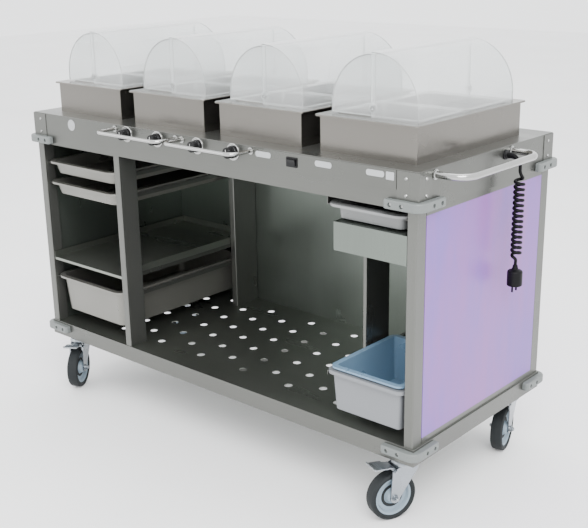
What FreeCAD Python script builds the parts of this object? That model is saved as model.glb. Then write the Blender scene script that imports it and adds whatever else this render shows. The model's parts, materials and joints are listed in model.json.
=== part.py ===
"""Food service trolley: a wheeled stainless cabinet with four heated roll-top servers.

The trolley is built about its own centre line (X along its length, -Y the
operator's side, Z up from the floor) and every sub-part is then moved by one
offset, so that the origin is under the middle of the whole trolley.
"""
import FreeCAD, Part
import Sketcher
import math
import os

from FreeCAD import Placement, Rotation, Vector

doc = FreeCAD.newDocument("food_service_trolley")
sheet = doc.addObject("Spreadsheet::Sheet", "Dims")

DIMENSIONS = {
    # cabinet
    "length": 1400, "depth": 600, "worktop_height": 880, "gauge": 2,
    "apron_height": 90, "apron_flange": 16, "worktop_radius": 3,
    "block_length": 58, "block_depth": 47, "block_wall": 4, "block_proud": 1.5,
    "post_width": 26, "post_depth": 38, "post_inset": 5, "post_wall": 2,
    "panel_thickness": 4, "panel_margin": 12, "rail_height": 15, "rail_depth": 18,
    "deck_height": 45, "deck_flange": 12, "channel_width": 100,
    "hole_diameter": 22, "hole_pitch": 88, "hole_column_pitch": 85,
    "back_gap": 43, "upright_width": 23, "upright_front_depth": 63,
    "upright_rear_depth": 100, "divider_width": 12, "divider_depth": 100,
    # controls
    "panel_length": 424, "panel_height": 44, "panel_gauge": 1.5,
    "bezel_diameter": 44, "bezel_thickness": 3, "knob_diameter": 32, "knob_height": 22,
    "spindle_diameter": 6, "thermostat_size": 30, "label_length": 50, "label_height": 14,
    "label_thickness": 1.2, "badge_diameter": 32, "tag_length": 22, "tag_height": 18,
    "switch_length": 34, "switch_height": 24, "switch_depth": 16, "switch_wall": 3.5,
    # rails and bumpers
    "guard_rod": 10, "guard_length": 248, "guard_reach": 70, "guard_bend": 22, "guard_foot": 18,
    "handle_tube": 16, "handle_length": 328, "handle_reach": 80, "handle_bend": 42,
    "handle_foot": 24, "foot_thickness": 3,
    "bumper_leg": 88, "bumper_thickness": 16, "bumper_height": 22, "bumper_round": 26,
    "screw_head": 8, "screw_rise": 2.2,
    # pans
    "pan_length": 530, "pan_width": 320, "pan_rim": 14, "pan_wall": 1.5, "pan_taper": 8,
    "pan_corner": 26, "shallow_depth": 38, "deep_depth": 112,
    "tray_length": 228, "tray_width": 234, "tray_depth": 38,
    "bin_length": 283, "bin_width": 230, "bin_depth": 108, "bin_wall": 3, "liner_rise": 10,
    # servers
    "server_width": 280, "server_length": 457, "server_height": 88, "server_rim": 10,
    "server_rim_thickness": 4, "server_pan_width": 244, "server_pan_length": 192,
    "server_pan_depth": 60, "server_pan_rim": 11, "heater_thickness": 8,
    # roll-top covers
    "dome_radius": 128, "dome_length": 410, "dome_wall": 3, "dome_gap": 1.5,
    "dome_skirt": 22, "dome_overlap": 4, "dome_pin": 6, "dome_lobe": 11,
    # casters
    "caster_height": 170, "wheel_diameter": 125, "wheel_width": 32, "hub_diameter": 98,
    "axle_diameter": 10, "trail": 38, "fork_gap": 38, "fork_wall": 3.5,
    "plate_length": 100, "plate_width": 85, "kingpin_diameter": 14, "crown_diameter": 66,
    "pedal_width": 44, "pedal_pin": 5,
    # cord
    "cord_diameter": 8, "coil_diameter": 30, "coil_length": 238, "plug_diameter": 38,
    "plug_length": 43, "boot_length": 10, "gland_diameter": 24, "gland_length": 10,
}

for row, (alias, number) in enumerate(DIMENSIONS.items(), start=1):
    sheet.set(f"A{row}", alias)
    sheet.set(f"B{row}", str(number))
    sheet.setAlias(f"B{row}", alias)
doc.recompute()


class Sizes:
    """Reads a driving dimension from the sheet by its alias."""

    def __getattr__(self, alias):
        return float(sheet.get(alias))


dim = Sizes()
nodes = {}

# heights and planes that several sub-parts share
HALF_LENGTH = dim.length / 2
HALF_DEPTH = dim.depth / 2
TOP = dim.worktop_height
TOP_UNDERSIDE = TOP - dim.gauge
APRON_BOTTOM = TOP - dim.apron_height
DECK_BOTTOM = dim.caster_height
DECK_TOP = DECK_BOTTOM + dim.deck_height
POST_OUTER = HALF_LENGTH - dim.post_inset
POST_INNER = POST_OUTER - dim.post_width
POST_FACE = HALF_DEPTH - dim.gauge
BACK_FACE = HALF_DEPTH - dim.back_gap - dim.gauge
BAY_RIGHT = -341.0
DIVIDER_LEFT = 418.0
FRONT = -HALF_DEPTH

# the trolley's middle, measured over the handle, the bumpers and the knob guards
OVERALL_RIGHT = HALF_LENGTH + dim.handle_reach + dim.handle_tube / 2
OVERALL_LEFT = HALF_LENGTH + dim.block_proud + dim.bumper_thickness
OVERALL_REAR = HALF_DEPTH + dim.block_proud + dim.bumper_thickness
OVERALL_FRONT = HALF_DEPTH + dim.guard_reach + dim.guard_rod / 2
ORIGIN_OFFSET = Vector((OVERALL_LEFT - OVERALL_RIGHT) / 2, (OVERALL_FRONT - OVERALL_REAR) / 2, 0)

# rotations that carry a sub-part drawn lying flat to the side it is fitted on
UPRIGHT = Rotation(0, 0, 0)
FACING_FRONT = Rotation(Vector(1, 0, 0), 90)
FACING_RIGHT = Rotation(Vector(0, 1, 0), 90)


# ---------------------------------------------------------------- helpers

def bind(obj, **formulas):
    """Ties properties of obj to formulas of the sheet's cells."""
    for prop, formula in formulas.items():
        obj.setExpression(prop, formula)


def place(obj, x=0.0, y=0.0, z=0.0, rotation=UPRIGHT):
    """Puts obj at a point of the trolley's own centre frame."""
    obj.Placement = Placement(Vector(x, y, z) + ORIGIN_OFFSET, rotation)
    return obj


def node(label, *members):
    """Names a sub-part; several separate solids become one group."""
    if len(members) == 1:
        part = members[0]
    else:
        part = doc.addObject("Part::Compound", "Group_" + label)
        part.Links = list(members)
    part.Label = label
    nodes[label] = part
    return part


def block(x, y, z, **formulas):
    """A plain rectangular bar with its low corner at x, y, z."""
    bar = doc.addObject("Part::Box", "Bar")
    bind(bar, **formulas)
    return place(bar, x, y, z)


def new_body(name):
    return doc.addObject("PartDesign::Body", name)


def new_sketch(body, plane="XY_Plane", offset=0.0, height=None):
    """A sketch on one of the body's own origin planes, lifted by offset or a formula."""
    sketch = body.newObject("Sketcher::SketchObject", body.Name + "_Sketch")
    support = next(f for f in body.Origin.OriginFeatures if f.Role == plane)
    sketch.AttachmentSupport = [(support, "")]
    sketch.MapMode = "FlatFace"
    sketch.AttachmentOffset = Placement(Vector(0, 0, offset), Rotation())
    if height is not None:
        sketch.setExpression("AttachmentOffset.Base.z", height)
    return sketch


def constrain(sketch, formulas, *constraints):
    """Adds one constraint and ties its value to a formula when one is given."""
    index = sketch.addConstraint(Sketcher.Constraint(*constraints))
    if formulas:
        sketch.setExpression(f"Constraints[{index}]", formulas)
    return index


def draw_rectangle(sketch, width, height, radius=None, centre=(0.0, 0.0)):
    """A rectangle about a centre point, with round corners when a radius is given."""
    w, h = evaluate(width) / 2, evaluate(height) / 2
    r = evaluate(radius) if radius else 0.0
    cx, cy = centre
    first = sketch.GeometryCount
    corners = [(-1, -1), (1, -1), (1, 1), (-1, 1)]
    for k, (sx, sy) in enumerate(corners):
        nx, ny = corners[(k + 1) % 4]
        along_x = sy == ny
        start = Vector(cx + sx * (w - (r if along_x else 0)), cy + sy * (h - (0 if along_x else r)), 0)
        end = Vector(cx + nx * (w - (r if along_x else 0)), cy + ny * (h - (0 if along_x else r)), 0)
        sketch.addGeometry(Part.LineSegment(start, end), False)
    for k in (0, 2):
        constrain(sketch, None, "Horizontal", first + k)
        constrain(sketch, None, "Vertical", first + k + 1)
    if r:
        for k, (sx, sy) in enumerate(corners):
            middle = Vector(cx + sx * (w - r), cy + sy * (h - r), 0)
            begin = math.pi + k * math.pi / 2
            circle = Part.Circle(middle, Vector(0, 0, 1), r)
            sketch.addGeometry(Part.ArcOfCircle(circle, begin, begin + math.pi / 2), False)
        for k in range(4):
            arc, line, previous = first + 4 + k, first + k, first + (k + 3) % 4
            constrain(sketch, None, "Tangent", previous, 2, arc, 1)
            constrain(sketch, None, "Tangent", arc, 2, line, 1)
            if k:
                constrain(sketch, None, "Equal", first + 4, arc)
        constrain(sketch, radius, "Radius", first + 4, r)
    else:
        for k in range(4):
            constrain(sketch, None, "Coincident", first + k, 2, first + (k + 1) % 4, 1)
    constrain(sketch, width, "DistanceX", first + 3, 1, first + 1, 1, 2 * w)
    constrain(sketch, height, "DistanceY", first, 1, first + 2, 1, 2 * h)
    constrain(sketch, None, "DistanceX", -1, 1, first + 1, 1, cx + w)
    constrain(sketch, None, "DistanceY", -1, 1, first + 2, 1, cy + h)
    half_width = f"{cx} + ({width}) / 2"
    half_height = f"{cy} + ({height}) / 2"
    sketch.setExpression(f"Constraints[{sketch.ConstraintCount - 2}]", half_width)
    sketch.setExpression(f"Constraints[{sketch.ConstraintCount - 1}]", half_height)


def draw_circle(sketch, diameter, x=0.0, y=0.0):
    """A circle whose diameter follows a formula."""
    index = sketch.GeometryCount
    circle = Part.Circle(Vector(x, y, 0), Vector(0, 0, 1), evaluate(diameter) / 2)
    sketch.addGeometry(circle, False)
    constrain(sketch, diameter, "Diameter", index, evaluate(diameter))
    constrain(sketch, None, "DistanceX", -1, 1, index, 3, x)
    constrain(sketch, None, "DistanceY", -1, 1, index, 3, y)


def draw_outline(sketch, pieces):
    """A closed outline of lines and arcs, given as Part geometry in order."""
    for piece in pieces:
        sketch.addGeometry(piece, False)


def line(a, b):
    return Part.LineSegment(Vector(a[0], a[1], 0), Vector(b[0], b[1], 0))


def arc(a, middle, b):
    return Part.Arc(Vector(a[0], a[1], 0), Vector(middle[0], middle[1], 0), Vector(b[0], b[1], 0))


def polygon(points):
    return [line(a, b) for a, b in zip(points, points[1:] + points[:1])]


def evaluate(formula):
    """The number that a formula of sheet cells gives."""
    return float(sheet.evalExpression(formula))


def pad(body, sketch, length, midplane=False, reverse=False):
    feature = body.newObject("PartDesign::Pad", body.Name + "_Pad")
    feature.Profile = sketch
    feature.Midplane = midplane
    feature.Reversed = reverse
    feature.setExpression("Length", length)
    return feature


def pocket(body, sketch, depth=None, reverse=False, midplane=False):
    """Cuts a sketch to a depth, or right through when no depth is given."""
    feature = body.newObject("PartDesign::Pocket", body.Name + "_Pocket")
    feature.Profile = sketch
    feature.Reversed = reverse
    feature.Midplane = midplane
    if depth is None:
        feature.Type = 1
        feature.Midplane = True
    else:
        feature.setExpression("Length", depth)
    return feature


def revolve(body, sketch, axis="V_Axis", cut=False):
    kind = "PartDesign::Groove" if cut else "PartDesign::Revolution"
    feature = body.newObject(kind, body.Name + "_Turned")
    feature.Profile = sketch
    feature.ReferenceAxis = (sketch, [axis])
    feature.Angle = 360
    return feature


def round_edges(body, feature, radius, wanted):
    """Fillets the edges of a feature that the test picks."""
    doc.recompute()
    names = [f"Edge{i}" for i, e in enumerate(feature.Shape.Edges, start=1) if wanted(e)]
    fillet = body.newObject("PartDesign::Fillet", body.Name + "_Round")
    fillet.Base = (feature, names)
    fillet.Radius = radius
    return fillet


def upright_edge(edge):
    """True for a straight edge along the local Z axis."""
    low, high = edge.BoundBox.ZMin, edge.BoundBox.ZMax
    return high - low > 1 and edge.BoundBox.XLength < 0.01 and edge.BoundBox.YLength < 0.01


# ---------------------------------------------------------------- cabinet

def make_worktop():
    body = new_body("Worktop")
    sketch = new_sketch(body)
    draw_rectangle(sketch, "Dims.length", "Dims.depth", "Dims.worktop_radius")
    top = pad(body, sketch, "Dims.gauge")
    round_edges(body, top, 0.8, lambda e: e.BoundBox.ZMin > dim.gauge - 0.01)
    node("worktop", place(body, z=TOP_UNDERSIDE))


def apron_body(name, length, holes=()):
    """A folded skirt: face, bottom flange and a short return, drawn end on."""
    body = new_body(name)
    face = dim.apron_height - dim.gauge
    flange, t, lip = dim.apron_flange, dim.gauge, 8.0
    sketch = new_sketch(body, "YZ_Plane")
    outline = [(0, 0), (flange, 0), (flange, lip), (flange - t, lip), (flange - t, t), (t, t),
               (t, face), (0, face)]
    draw_outline(sketch, polygon(outline))
    skirt = pad(body, sketch, length, midplane=True)
    if holes:
        cut = new_sketch(body, "XZ_Plane")
        for x, z in holes:
            draw_circle(cut, "Dims.spindle_diameter + 4", x, z)
        doc.recompute()
        before = skirt.Shape.Volume
        drilled = pocket(body, cut)
        doc.recompute()
        assert drilled.Shape.Volume < before
    return body


KNOB_X = (-270.0, -145.0, 10.0, 139.0)
KNOB_Z = 858.0
GUARD_Z = 868.0


def make_aprons():
    front = apron_body("Apron_Front", "Dims.length - 2 * Dims.block_length",
                       [(x, KNOB_Z - APRON_BOTTOM) for x in KNOB_X])
    place(front, 0, FRONT, APRON_BOTTOM)
    rear = apron_body("Apron_Rear", "Dims.length - 2 * Dims.block_length")
    place(rear, 0, HALF_DEPTH, APRON_BOTTOM, Rotation(Vector(0, 0, 1), 180))
    right = apron_body("Apron_Right", "Dims.depth - 2 * Dims.block_depth")
    place(right, HALF_LENGTH, 0, APRON_BOTTOM, Rotation(Vector(0, 0, 1), 90))
    left = apron_body("Apron_Left", "Dims.depth - 2 * Dims.block_depth")
    place(left, -HALF_LENGTH, 0, APRON_BOTTOM, Rotation(Vector(0, 0, 1), -90))
    node("aprons", front, rear, right, left)


CORNERS = [(sx, sy) for sx in (-1, 1) for sy in (-1, 1)]


def corner_block(sx, sy):
    """A cast angle that closes one corner of the worktop's skirts."""
    body = new_body("Corner_Block")
    a, b = dim.block_length + dim.block_proud, dim.block_depth + dim.block_proud
    wall = dim.block_wall
    sketch = new_sketch(body)
    corner = [(0, 0), (-sx * a, 0), (-sx * a, -sy * wall), (-sx * wall, -sy * wall),
              (-sx * wall, -sy * b), (0, -sy * b)]
    draw_outline(sketch, polygon(corner))
    angle = pad(body, sketch, "Dims.apron_height - Dims.gauge")
    round_edges(body, angle, 2.5, lambda e: upright_edge(e) and abs(e.BoundBox.XMin) < 0.01
                and abs(e.BoundBox.YMin) < 0.01)
    x = sx * (HALF_LENGTH + dim.block_proud)
    return place(body, x, sy * (HALF_DEPTH + dim.block_proud), APRON_BOTTOM)


def make_corner_blocks():
    node("corner_blocks", *[corner_block(sx, sy) for sx, sy in CORNERS])


def post(sx, sy):
    """A hollow rectangular post between the deck and the worktop."""
    body = new_body("Post")
    sketch = new_sketch(body)
    draw_rectangle(sketch, "Dims.post_width", "Dims.post_depth", "Dims.post_wall + 1")
    draw_rectangle(sketch, "Dims.post_width - 2 * Dims.post_wall",
                   "Dims.post_depth - 2 * Dims.post_wall")
    pad(body, sketch, "Dims.worktop_height - Dims.apron_height - Dims.caster_height - Dims.deck_height")
    x = sx * (POST_OUTER - dim.post_width / 2)
    return place(body, x, sy * (POST_FACE - dim.post_depth / 2), DECK_TOP)


def make_frame_posts():
    members = [post(sx, sy) for sx, sy in CORNERS]
    gap = "Dims.depth - 2 * Dims.gauge - 2 * Dims.post_depth"
    reach = -(POST_FACE - dim.post_depth)
    for sx in (-1, 1):
        x = POST_OUTER - dim.rail_depth if sx > 0 else -POST_OUTER
        for z in (DECK_TOP, APRON_BOTTOM - dim.rail_height):
            members.append(block(x, reach, z, Length="Dims.rail_depth", Width=gap,
                                 Height="Dims.rail_height"))
    node("frame_posts", *members)


def make_deck_skirt():
    body = new_body("Deck_Skirt")
    outer = new_sketch(body)
    draw_rectangle(outer, "Dims.length", "Dims.depth", "Dims.worktop_radius")
    solid = pad(body, outer, "Dims.deck_height")
    round_edges(body, solid, 1.0, lambda e: e.BoundBox.ZMin > dim.deck_height - 0.01)
    hollow = new_sketch(body, height="Dims.gauge")
    draw_rectangle(hollow, "Dims.length - 2 * Dims.gauge", "Dims.depth - 2 * Dims.gauge")
    pocket(body, hollow, "Dims.deck_height", reverse=True)
    opening = new_sketch(body)
    draw_rectangle(opening, "Dims.length - 2 * Dims.deck_flange",
                   "Dims.depth - 2 * Dims.deck_flange")
    pocket(body, opening)
    node("deck_skirt", place(body, z=DECK_BOTTOM))


def make_deck_floor():
    """The bottom shelf, punched with a staggered pattern of drain holes."""
    body = new_body("Deck_Floor")
    sketch = new_sketch(body)
    draw_rectangle(sketch, "Dims.length - 2 * Dims.gauge", "Dims.depth - 2 * Dims.gauge")
    plate = pad(body, sketch, "Dims.gauge")
    holes = new_sketch(body)
    first_x = -537.0
    for column, first_y in enumerate((-165.0, -209.0)):
        for k in range(5):
            draw_circle(holes, "Dims.hole_diameter", first_x + column * dim.hole_column_pitch,
                        first_y + k * dim.hole_pitch)
    doc.recompute()
    before = plate.Shape.Volume
    punched = pocket(body, holes)
    doc.recompute()
    assert punched.Shape.Volume < before
    pattern = body.newObject("PartDesign::LinearPattern", "Deck_Holes")
    pattern.Originals = [punched]
    pattern.Direction = (holes, ["H_Axis"])
    pattern.Occurrences = 7
    pattern.setExpression("Length", "12 * Dims.hole_column_pitch")
    body.Tip = pattern
    node("deck_floor", place(body, z=DECK_TOP - dim.gauge))


CASTER_X = 637.0
CASTER_Y = 245.0
MIDDLE_CHANNEL_X = 15.5


def make_deck_channels():
    """Folded channels under the deck that the casters bolt to."""
    members = []
    slim = 56.0
    for x, width in ((-CASTER_X, dim.channel_width), (MIDDLE_CHANNEL_X, slim),
                     (CASTER_X, dim.channel_width)):
        body = new_body("Channel")
        half, height, t = width / 2, dim.deck_height - dim.gauge, dim.gauge
        sketch = new_sketch(body, "XZ_Plane")
        draw_outline(sketch, polygon([(-half, height), (-half, 0), (half, 0), (half, height),
                                      (half - t, height), (half - t, t), (t - half, t),
                                      (t - half, height)]))
        pad(body, sketch, "Dims.depth - 2 * Dims.deck_flange - 2", midplane=True)
        members.append(place(body, x, 0, DECK_BOTTOM))
    node("deck_channels", *members)


UNDER_WORKTOP = "Dims.worktop_height - Dims.gauge"
UNDER_APRON = "Dims.worktop_height - Dims.apron_height"


def upright(x, y, width, length, top=UNDER_WORKTOP):
    """A hollow upright on the deck; top is the formula of its height above the floor."""
    body = new_body("Upright")
    sketch = new_sketch(body)
    draw_rectangle(sketch, width, length, "Dims.post_wall + 1")
    draw_rectangle(sketch, f"{width} - 2 * Dims.post_wall", f"{length} - 2 * Dims.post_wall")
    pad(body, sketch, f"{top} - Dims.caster_height - Dims.deck_height")
    return place(body, x + evaluate(width) / 2, y + evaluate(length) / 2, DECK_TOP)


DIVIDER_FRONT = -130.0


def make_bay_uprights():
    """Hollow uprights that part the three bays."""
    rear_y = BACK_FACE - dim.upright_rear_depth
    front = upright(BAY_RIGHT, -POST_FACE, "Dims.upright_width", "Dims.upright_front_depth",
                    UNDER_APRON)
    rear = upright(BAY_RIGHT, rear_y, "Dims.upright_width", "Dims.upright_rear_depth")
    divider = upright(DIVIDER_LEFT, DIVIDER_FRONT, "Dims.divider_width", "Dims.divider_depth")
    divider_rear = upright(DIVIDER_LEFT, rear_y, "Dims.divider_width", "Dims.upright_rear_depth")
    node("bay_uprights", front, rear, divider, divider_rear)


def make_decor_panels():
    """Coated sheets on the ends and the rear, inside the frame."""
    height = ("Dims.worktop_height - Dims.apron_height - Dims.caster_height - Dims.deck_height"
              " - 2 * Dims.rail_height")
    gap = "Dims.depth - 2 * Dims.gauge - 2 * Dims.post_depth"
    y, z = dim.post_depth - POST_FACE, DECK_TOP + dim.rail_height
    right = block(POST_OUTER - dim.panel_thickness, y, z, Length="Dims.panel_thickness", Width=gap,
                  Height=height)
    left = block(-POST_OUTER, y, z, Length="Dims.panel_thickness", Width=gap, Height=height)
    rear = block(-POST_INNER, POST_FACE - dim.panel_thickness, DECK_TOP,
                 Length="Dims.length - 2 * Dims.post_inset - 2 * Dims.post_width",
                 Width="Dims.panel_thickness",
                 Height="Dims.worktop_height - Dims.apron_height - Dims.caster_height"
                        " - Dims.deck_height")
    node("decor_panels", right, left, rear)


def make_inner_panels():
    """Steel sheets that line the bays: the back and both ends."""
    height = "Dims.worktop_height - Dims.gauge - Dims.caster_height - Dims.deck_height"
    half = POST_OUTER - dim.rail_depth - dim.gauge
    front = dim.post_depth - POST_FACE
    back = block(-half, BACK_FACE, DECK_TOP, Length=f"{2 * half}", Width="Dims.gauge", Height=height)
    right = block(half, front, DECK_TOP, Length="Dims.gauge", Width=f"{BACK_FACE - front}",
                  Height=height)
    left = block(-half - dim.gauge, front, DECK_TOP, Length="Dims.gauge",
                 Width=f"{BACK_FACE - front}", Height=height)
    node("inner_panels", back, right, left)


SHELF_Z = 425.0
BAY_LEFT = -POST_INNER


def make_mid_shelf():
    """A shelf with upturned sides and back and a turned-down front edge."""
    body = new_body("Mid_Shelf")
    width = BAY_RIGHT - BAY_LEFT - 2
    length = BACK_FACE - (FRONT + 6) - 2
    t, lip = dim.gauge, 20.0
    sketch = new_sketch(body, "XZ_Plane")
    half = width / 2
    draw_outline(sketch, polygon([(-half, lip), (-half, 0), (half, 0), (half, lip),
                                  (half - t, lip), (half - t, t), (t - half, t),
                                  (t - half, lip)]))
    pad(body, sketch, f"{length}", midplane=True)
    edge = new_sketch(body, "XY_Plane")
    draw_rectangle(edge, f"{width}", "Dims.gauge", centre=(0, (dim.gauge - length) / 2))
    pad(body, edge, "6", reverse=True)
    back = new_sketch(body, "XY_Plane")
    draw_rectangle(back, f"{width}", "Dims.gauge", centre=(0, (length - dim.gauge) / 2))
    pad(body, back, f"{lip}")
    node("mid_shelf", place(body, (BAY_LEFT + BAY_RIGHT) / 2, FRONT + 7 + length / 2, SHELF_Z))


# ---------------------------------------------------------------- pans and rails

PAN_SLOTS = {"pan_upper": (735.0, "Dims.shallow_depth"), "pan_middle": (672.0, "Dims.shallow_depth"),
             "deep_bin": (372.0, "Dims.deep_depth")}
BIN_RIM_Z = 352.0
TRAY_RIM_Z = 773.0
RAIL = 12.0
RAIL_WALL = 1.5


def pan_body(name, width, length, depth, rim, wall, taper, corner, lip=6.0):
    """A deep-drawn pan: rolled rim, tapering walls, round corners; z = 0 is its rim's top."""
    body = new_body(name)
    thickness = 2.0
    rim_sketch = new_sketch(body, height=f"-{thickness}")
    draw_rectangle(rim_sketch, width, length, f"{corner} + {rim}")
    pad(body, rim_sketch, f"{thickness}")
    curl = new_sketch(body, height=f"-{lip}")
    draw_rectangle(curl, width, length, f"{corner} + {rim}")
    draw_rectangle(curl, f"{width} - 4", f"{length} - 4", f"{corner} + {rim} - 2")
    pad(body, curl, f"{lip - thickness}")

    def section(inset, z, radius):
        sketch = new_sketch(body, height=z)
        draw_rectangle(sketch, f"{width} - 2 * ( {rim} + {inset} )",
                       f"{length} - 2 * ( {rim} + {inset} )", radius)
        return sketch

    outside = body.newObject("PartDesign::AdditiveLoft", body.Name + "_Walls")
    outside.Profile = section("0", f"-{thickness}", corner)
    outside.Sections = [section(taper, f"-( {depth} )", corner)]
    outside.Ruled = True
    inside = body.newObject("PartDesign::SubtractiveLoft", body.Name + "_Inside")
    inside.Profile = section(wall, "1", f"{corner} - {wall}")
    inside.Sections = [section(f"{taper} + {wall}", f"{wall} - ( {depth} )", f"{corner} - {wall}")]
    inside.Ruled = True
    doc.recompute()
    bottom = -evaluate(depth)
    base = [e for e in inside.Shape.Edges if e.BoundBox.ZMax < bottom + 0.01]
    names = [f"Edge{i}" for i, e in enumerate(inside.Shape.Edges, start=1)
             if any(e.isSame(b) for b in base)]
    fillet = body.newObject("PartDesign::Fillet", body.Name + "_Bottom")
    fillet.Base = (inside, names)
    fillet.Radius = 1.2 * evaluate(wall)
    return body


def make_bay_pans():
    centre = (BAY_LEFT + BAY_RIGHT) / 2
    for label, (rim_z, depth) in PAN_SLOTS.items():
        pan = pan_body(label.title(), "Dims.pan_width", "Dims.pan_length", depth, "Dims.pan_rim",
                       "Dims.pan_wall", "Dims.pan_taper", "Dims.pan_corner")
        node(label, place(pan, centre, FRONT + dim.pan_length / 2, rim_z))


TRAY_LEFT = 432.0


def make_right_bay_pans():
    tray = pan_body("Side_Tray", "Dims.tray_width", "Dims.tray_length", "Dims.tray_depth",
                    "22", "2", "3", "14")
    node("side_tray", place(tray, TRAY_LEFT + dim.tray_width / 2, FRONT + dim.tray_length / 2,
                            TRAY_RIM_Z))
    bin_x = 436 + dim.bin_width / 2
    bin_y = FRONT - 3 + dim.bin_length / 2
    outer = pan_body("Waste_Bin", "Dims.bin_width", "Dims.bin_length", "Dims.bin_depth",
                     "11", "Dims.bin_wall", "6", "10", lip=9.0)
    node("waste_bin", place(outer, bin_x, bin_y, BIN_RIM_Z))
    liner = pan_body("Bin_Liner", "Dims.bin_width - 12", "Dims.bin_length - 12",
                     "Dims.bin_depth + Dims.liner_rise - Dims.bin_wall", "12", "2", "10", "9",
                     lip=5.0)
    node("waste_bin_liner", place(liner, bin_x, bin_y, BIN_RIM_Z + dim.liner_rise))


def angle_rail(x, y, z, length, side):
    """An angle runner; z is the top of its flat leg and side the way that leg points."""
    body = new_body("Runner")
    leg, t = RAIL, RAIL_WALL
    sketch = new_sketch(body, "XZ_Plane")
    draw_outline(sketch, polygon([(0, 0), (side * leg, 0), (side * leg, -t), (side * t, -t),
                                  (side * t, -leg), (0, -leg)]))
    pad(body, sketch, f"{length}", reverse=True)
    return place(body, x, y, z)


def make_runner_rails():
    """Angle runners for the pans, the bin, the tray and the shelf, and the bay's front tie."""
    members = []
    start = FRONT + 12
    reach = BACK_FACE - start
    heights = [rim_z - 6.5 for rim_z, _ in PAN_SLOTS.values()] + [SHELF_Z]
    for z in heights:
        members.append(angle_rail(BAY_LEFT, start, z, reach, 1))
        members.append(angle_rail(BAY_RIGHT, start, z, reach, -1))
    bin_z = BIN_RIM_Z - 9.5
    members.append(angle_rail(DIVIDER_LEFT + dim.divider_width, start, bin_z, reach, 1))
    members.append(angle_rail(POST_INNER, start, bin_z, reach, -1))
    tray_z = TRAY_RIM_Z - 6.5
    members.append(angle_rail(POST_INNER, start, tray_z, 216, -1))
    tie = doc.addObject("Part::Box", "Tie_Bar")
    bind(tie, Length=f"{BAY_RIGHT - BAY_LEFT}", Width="Dims.gauge", Height="8")
    members.append(place(tie, BAY_LEFT, FRONT + 20, APRON_BOTTOM - 9))
    hanger = doc.addObject("Part::Box", "Tray_Hanger")
    hanger_z = tray_z - RAIL_WALL
    bind(hanger, Length="Dims.gauge", Width="144", Height=f"{TOP_UNDERSIDE - hanger_z}")
    members.append(place(hanger, TRAY_LEFT - 6, FRONT + 20, hanger_z))
    ledge = doc.addObject("Part::Box", "Hanger_Ledge")
    bind(ledge, Length="16", Width="144", Height=f"{RAIL_WALL}")
    members.append(place(ledge, TRAY_LEFT - 4, FRONT + 20, hanger_z))
    node("runner_rails", *members)


BOX_LEFT = 457.0
BOX_BOTTOM = 661.0


def make_junction_box():
    """The electrical box under the side tray, hung from the worktop by its back plate."""
    body = new_body("Junction_Box")
    width, length, height = POST_INNER - 1 - BOX_LEFT, 232.0, 70.0
    sketch = new_sketch(body)
    draw_rectangle(sketch, f"{width}", f"{length}", "2")
    pad(body, sketch, f"{height}")
    hollow = new_sketch(body, height="2")
    draw_rectangle(hollow, f"{width - 4}", f"{length - 4}")
    pocket(body, hollow, f"{height - 4}", reverse=True)
    plate = new_sketch(body)
    draw_rectangle(plate, f"{width}", "2", centre=(0, length / 2 - 1))
    pad(body, plate, f"{TOP_UNDERSIDE - BOX_BOTTOM}")
    node("junction_box", place(body, BOX_LEFT + width / 2, FRONT + 4 + length / 2, BOX_BOTTOM))


# ---------------------------------------------------------------- servers and covers

SERVER_PITCH = 338.0
SERVER_X = [5 + (k - 1.5) * SERVER_PITCH for k in range(4)]
SERVER_Y = -14.0
RIM_TOP = TOP + dim.server_height
PAN_SHIFT = 98.5


def server_housing(x):
    body = new_body("Server")
    sketch = new_sketch(body)
    draw_rectangle(sketch, "Dims.server_width", "Dims.server_length", "5")
    pad(body, sketch, "Dims.server_height - 0.5")
    rim = new_sketch(body, height="Dims.server_height - Dims.server_rim_thickness")
    draw_rectangle(rim, "Dims.server_width + 2 * Dims.server_rim",
                   "Dims.server_length + 2 * Dims.server_rim", "12")
    flange = pad(body, rim, "Dims.server_rim_thickness")
    top = dim.server_height - 0.01
    round_edges(body, flange, 1.8, lambda e: e.BoundBox.ZMin > top)
    hollow = new_sketch(body)
    draw_rectangle(hollow, "Dims.server_width - 2 * Dims.gauge",
                   "Dims.server_length - 2 * Dims.gauge", "3")
    pocket(body, hollow, "Dims.server_height - 3", reverse=True)
    wells = new_sketch(body)
    for side in (-1, 1):
        draw_rectangle(wells, "Dims.server_pan_width - 18", "Dims.server_pan_length - 18", "14",
                       centre=(0, side * PAN_SHIFT))
    pocket(body, wells)
    return place(body, x, SERVER_Y, TOP)


def make_servers():
    node("server_housings", *[server_housing(x) for x in SERVER_X])
    pans = []
    for x in SERVER_X:
        for side in (-1, 1):
            pan = pan_body("Server_Pan", "Dims.server_pan_width", "Dims.server_pan_length",
                           "Dims.server_pan_depth", "Dims.server_pan_rim", "Dims.pan_wall", "6",
                           "14", lip=2.5)
            pans.append(place(pan, x, SERVER_Y + side * PAN_SHIFT, RIM_TOP + 2.5))
    node("server_pans", *pans)
    heaters = []
    for x in SERVER_X:
        plate = doc.addObject("Part::Box", "Heater")
        bind(plate, Length="Dims.server_width - 40", Width="Dims.server_length - 60",
             Height="Dims.heater_thickness")
        heaters.append(place(plate, x - dim.server_width / 2 + 20,
                             SERVER_Y - dim.server_length / 2 + 30, TOP))
    node("heater_plates", *heaters)


PIVOT_Z = RIM_TOP + dim.dome_skirt


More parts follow.
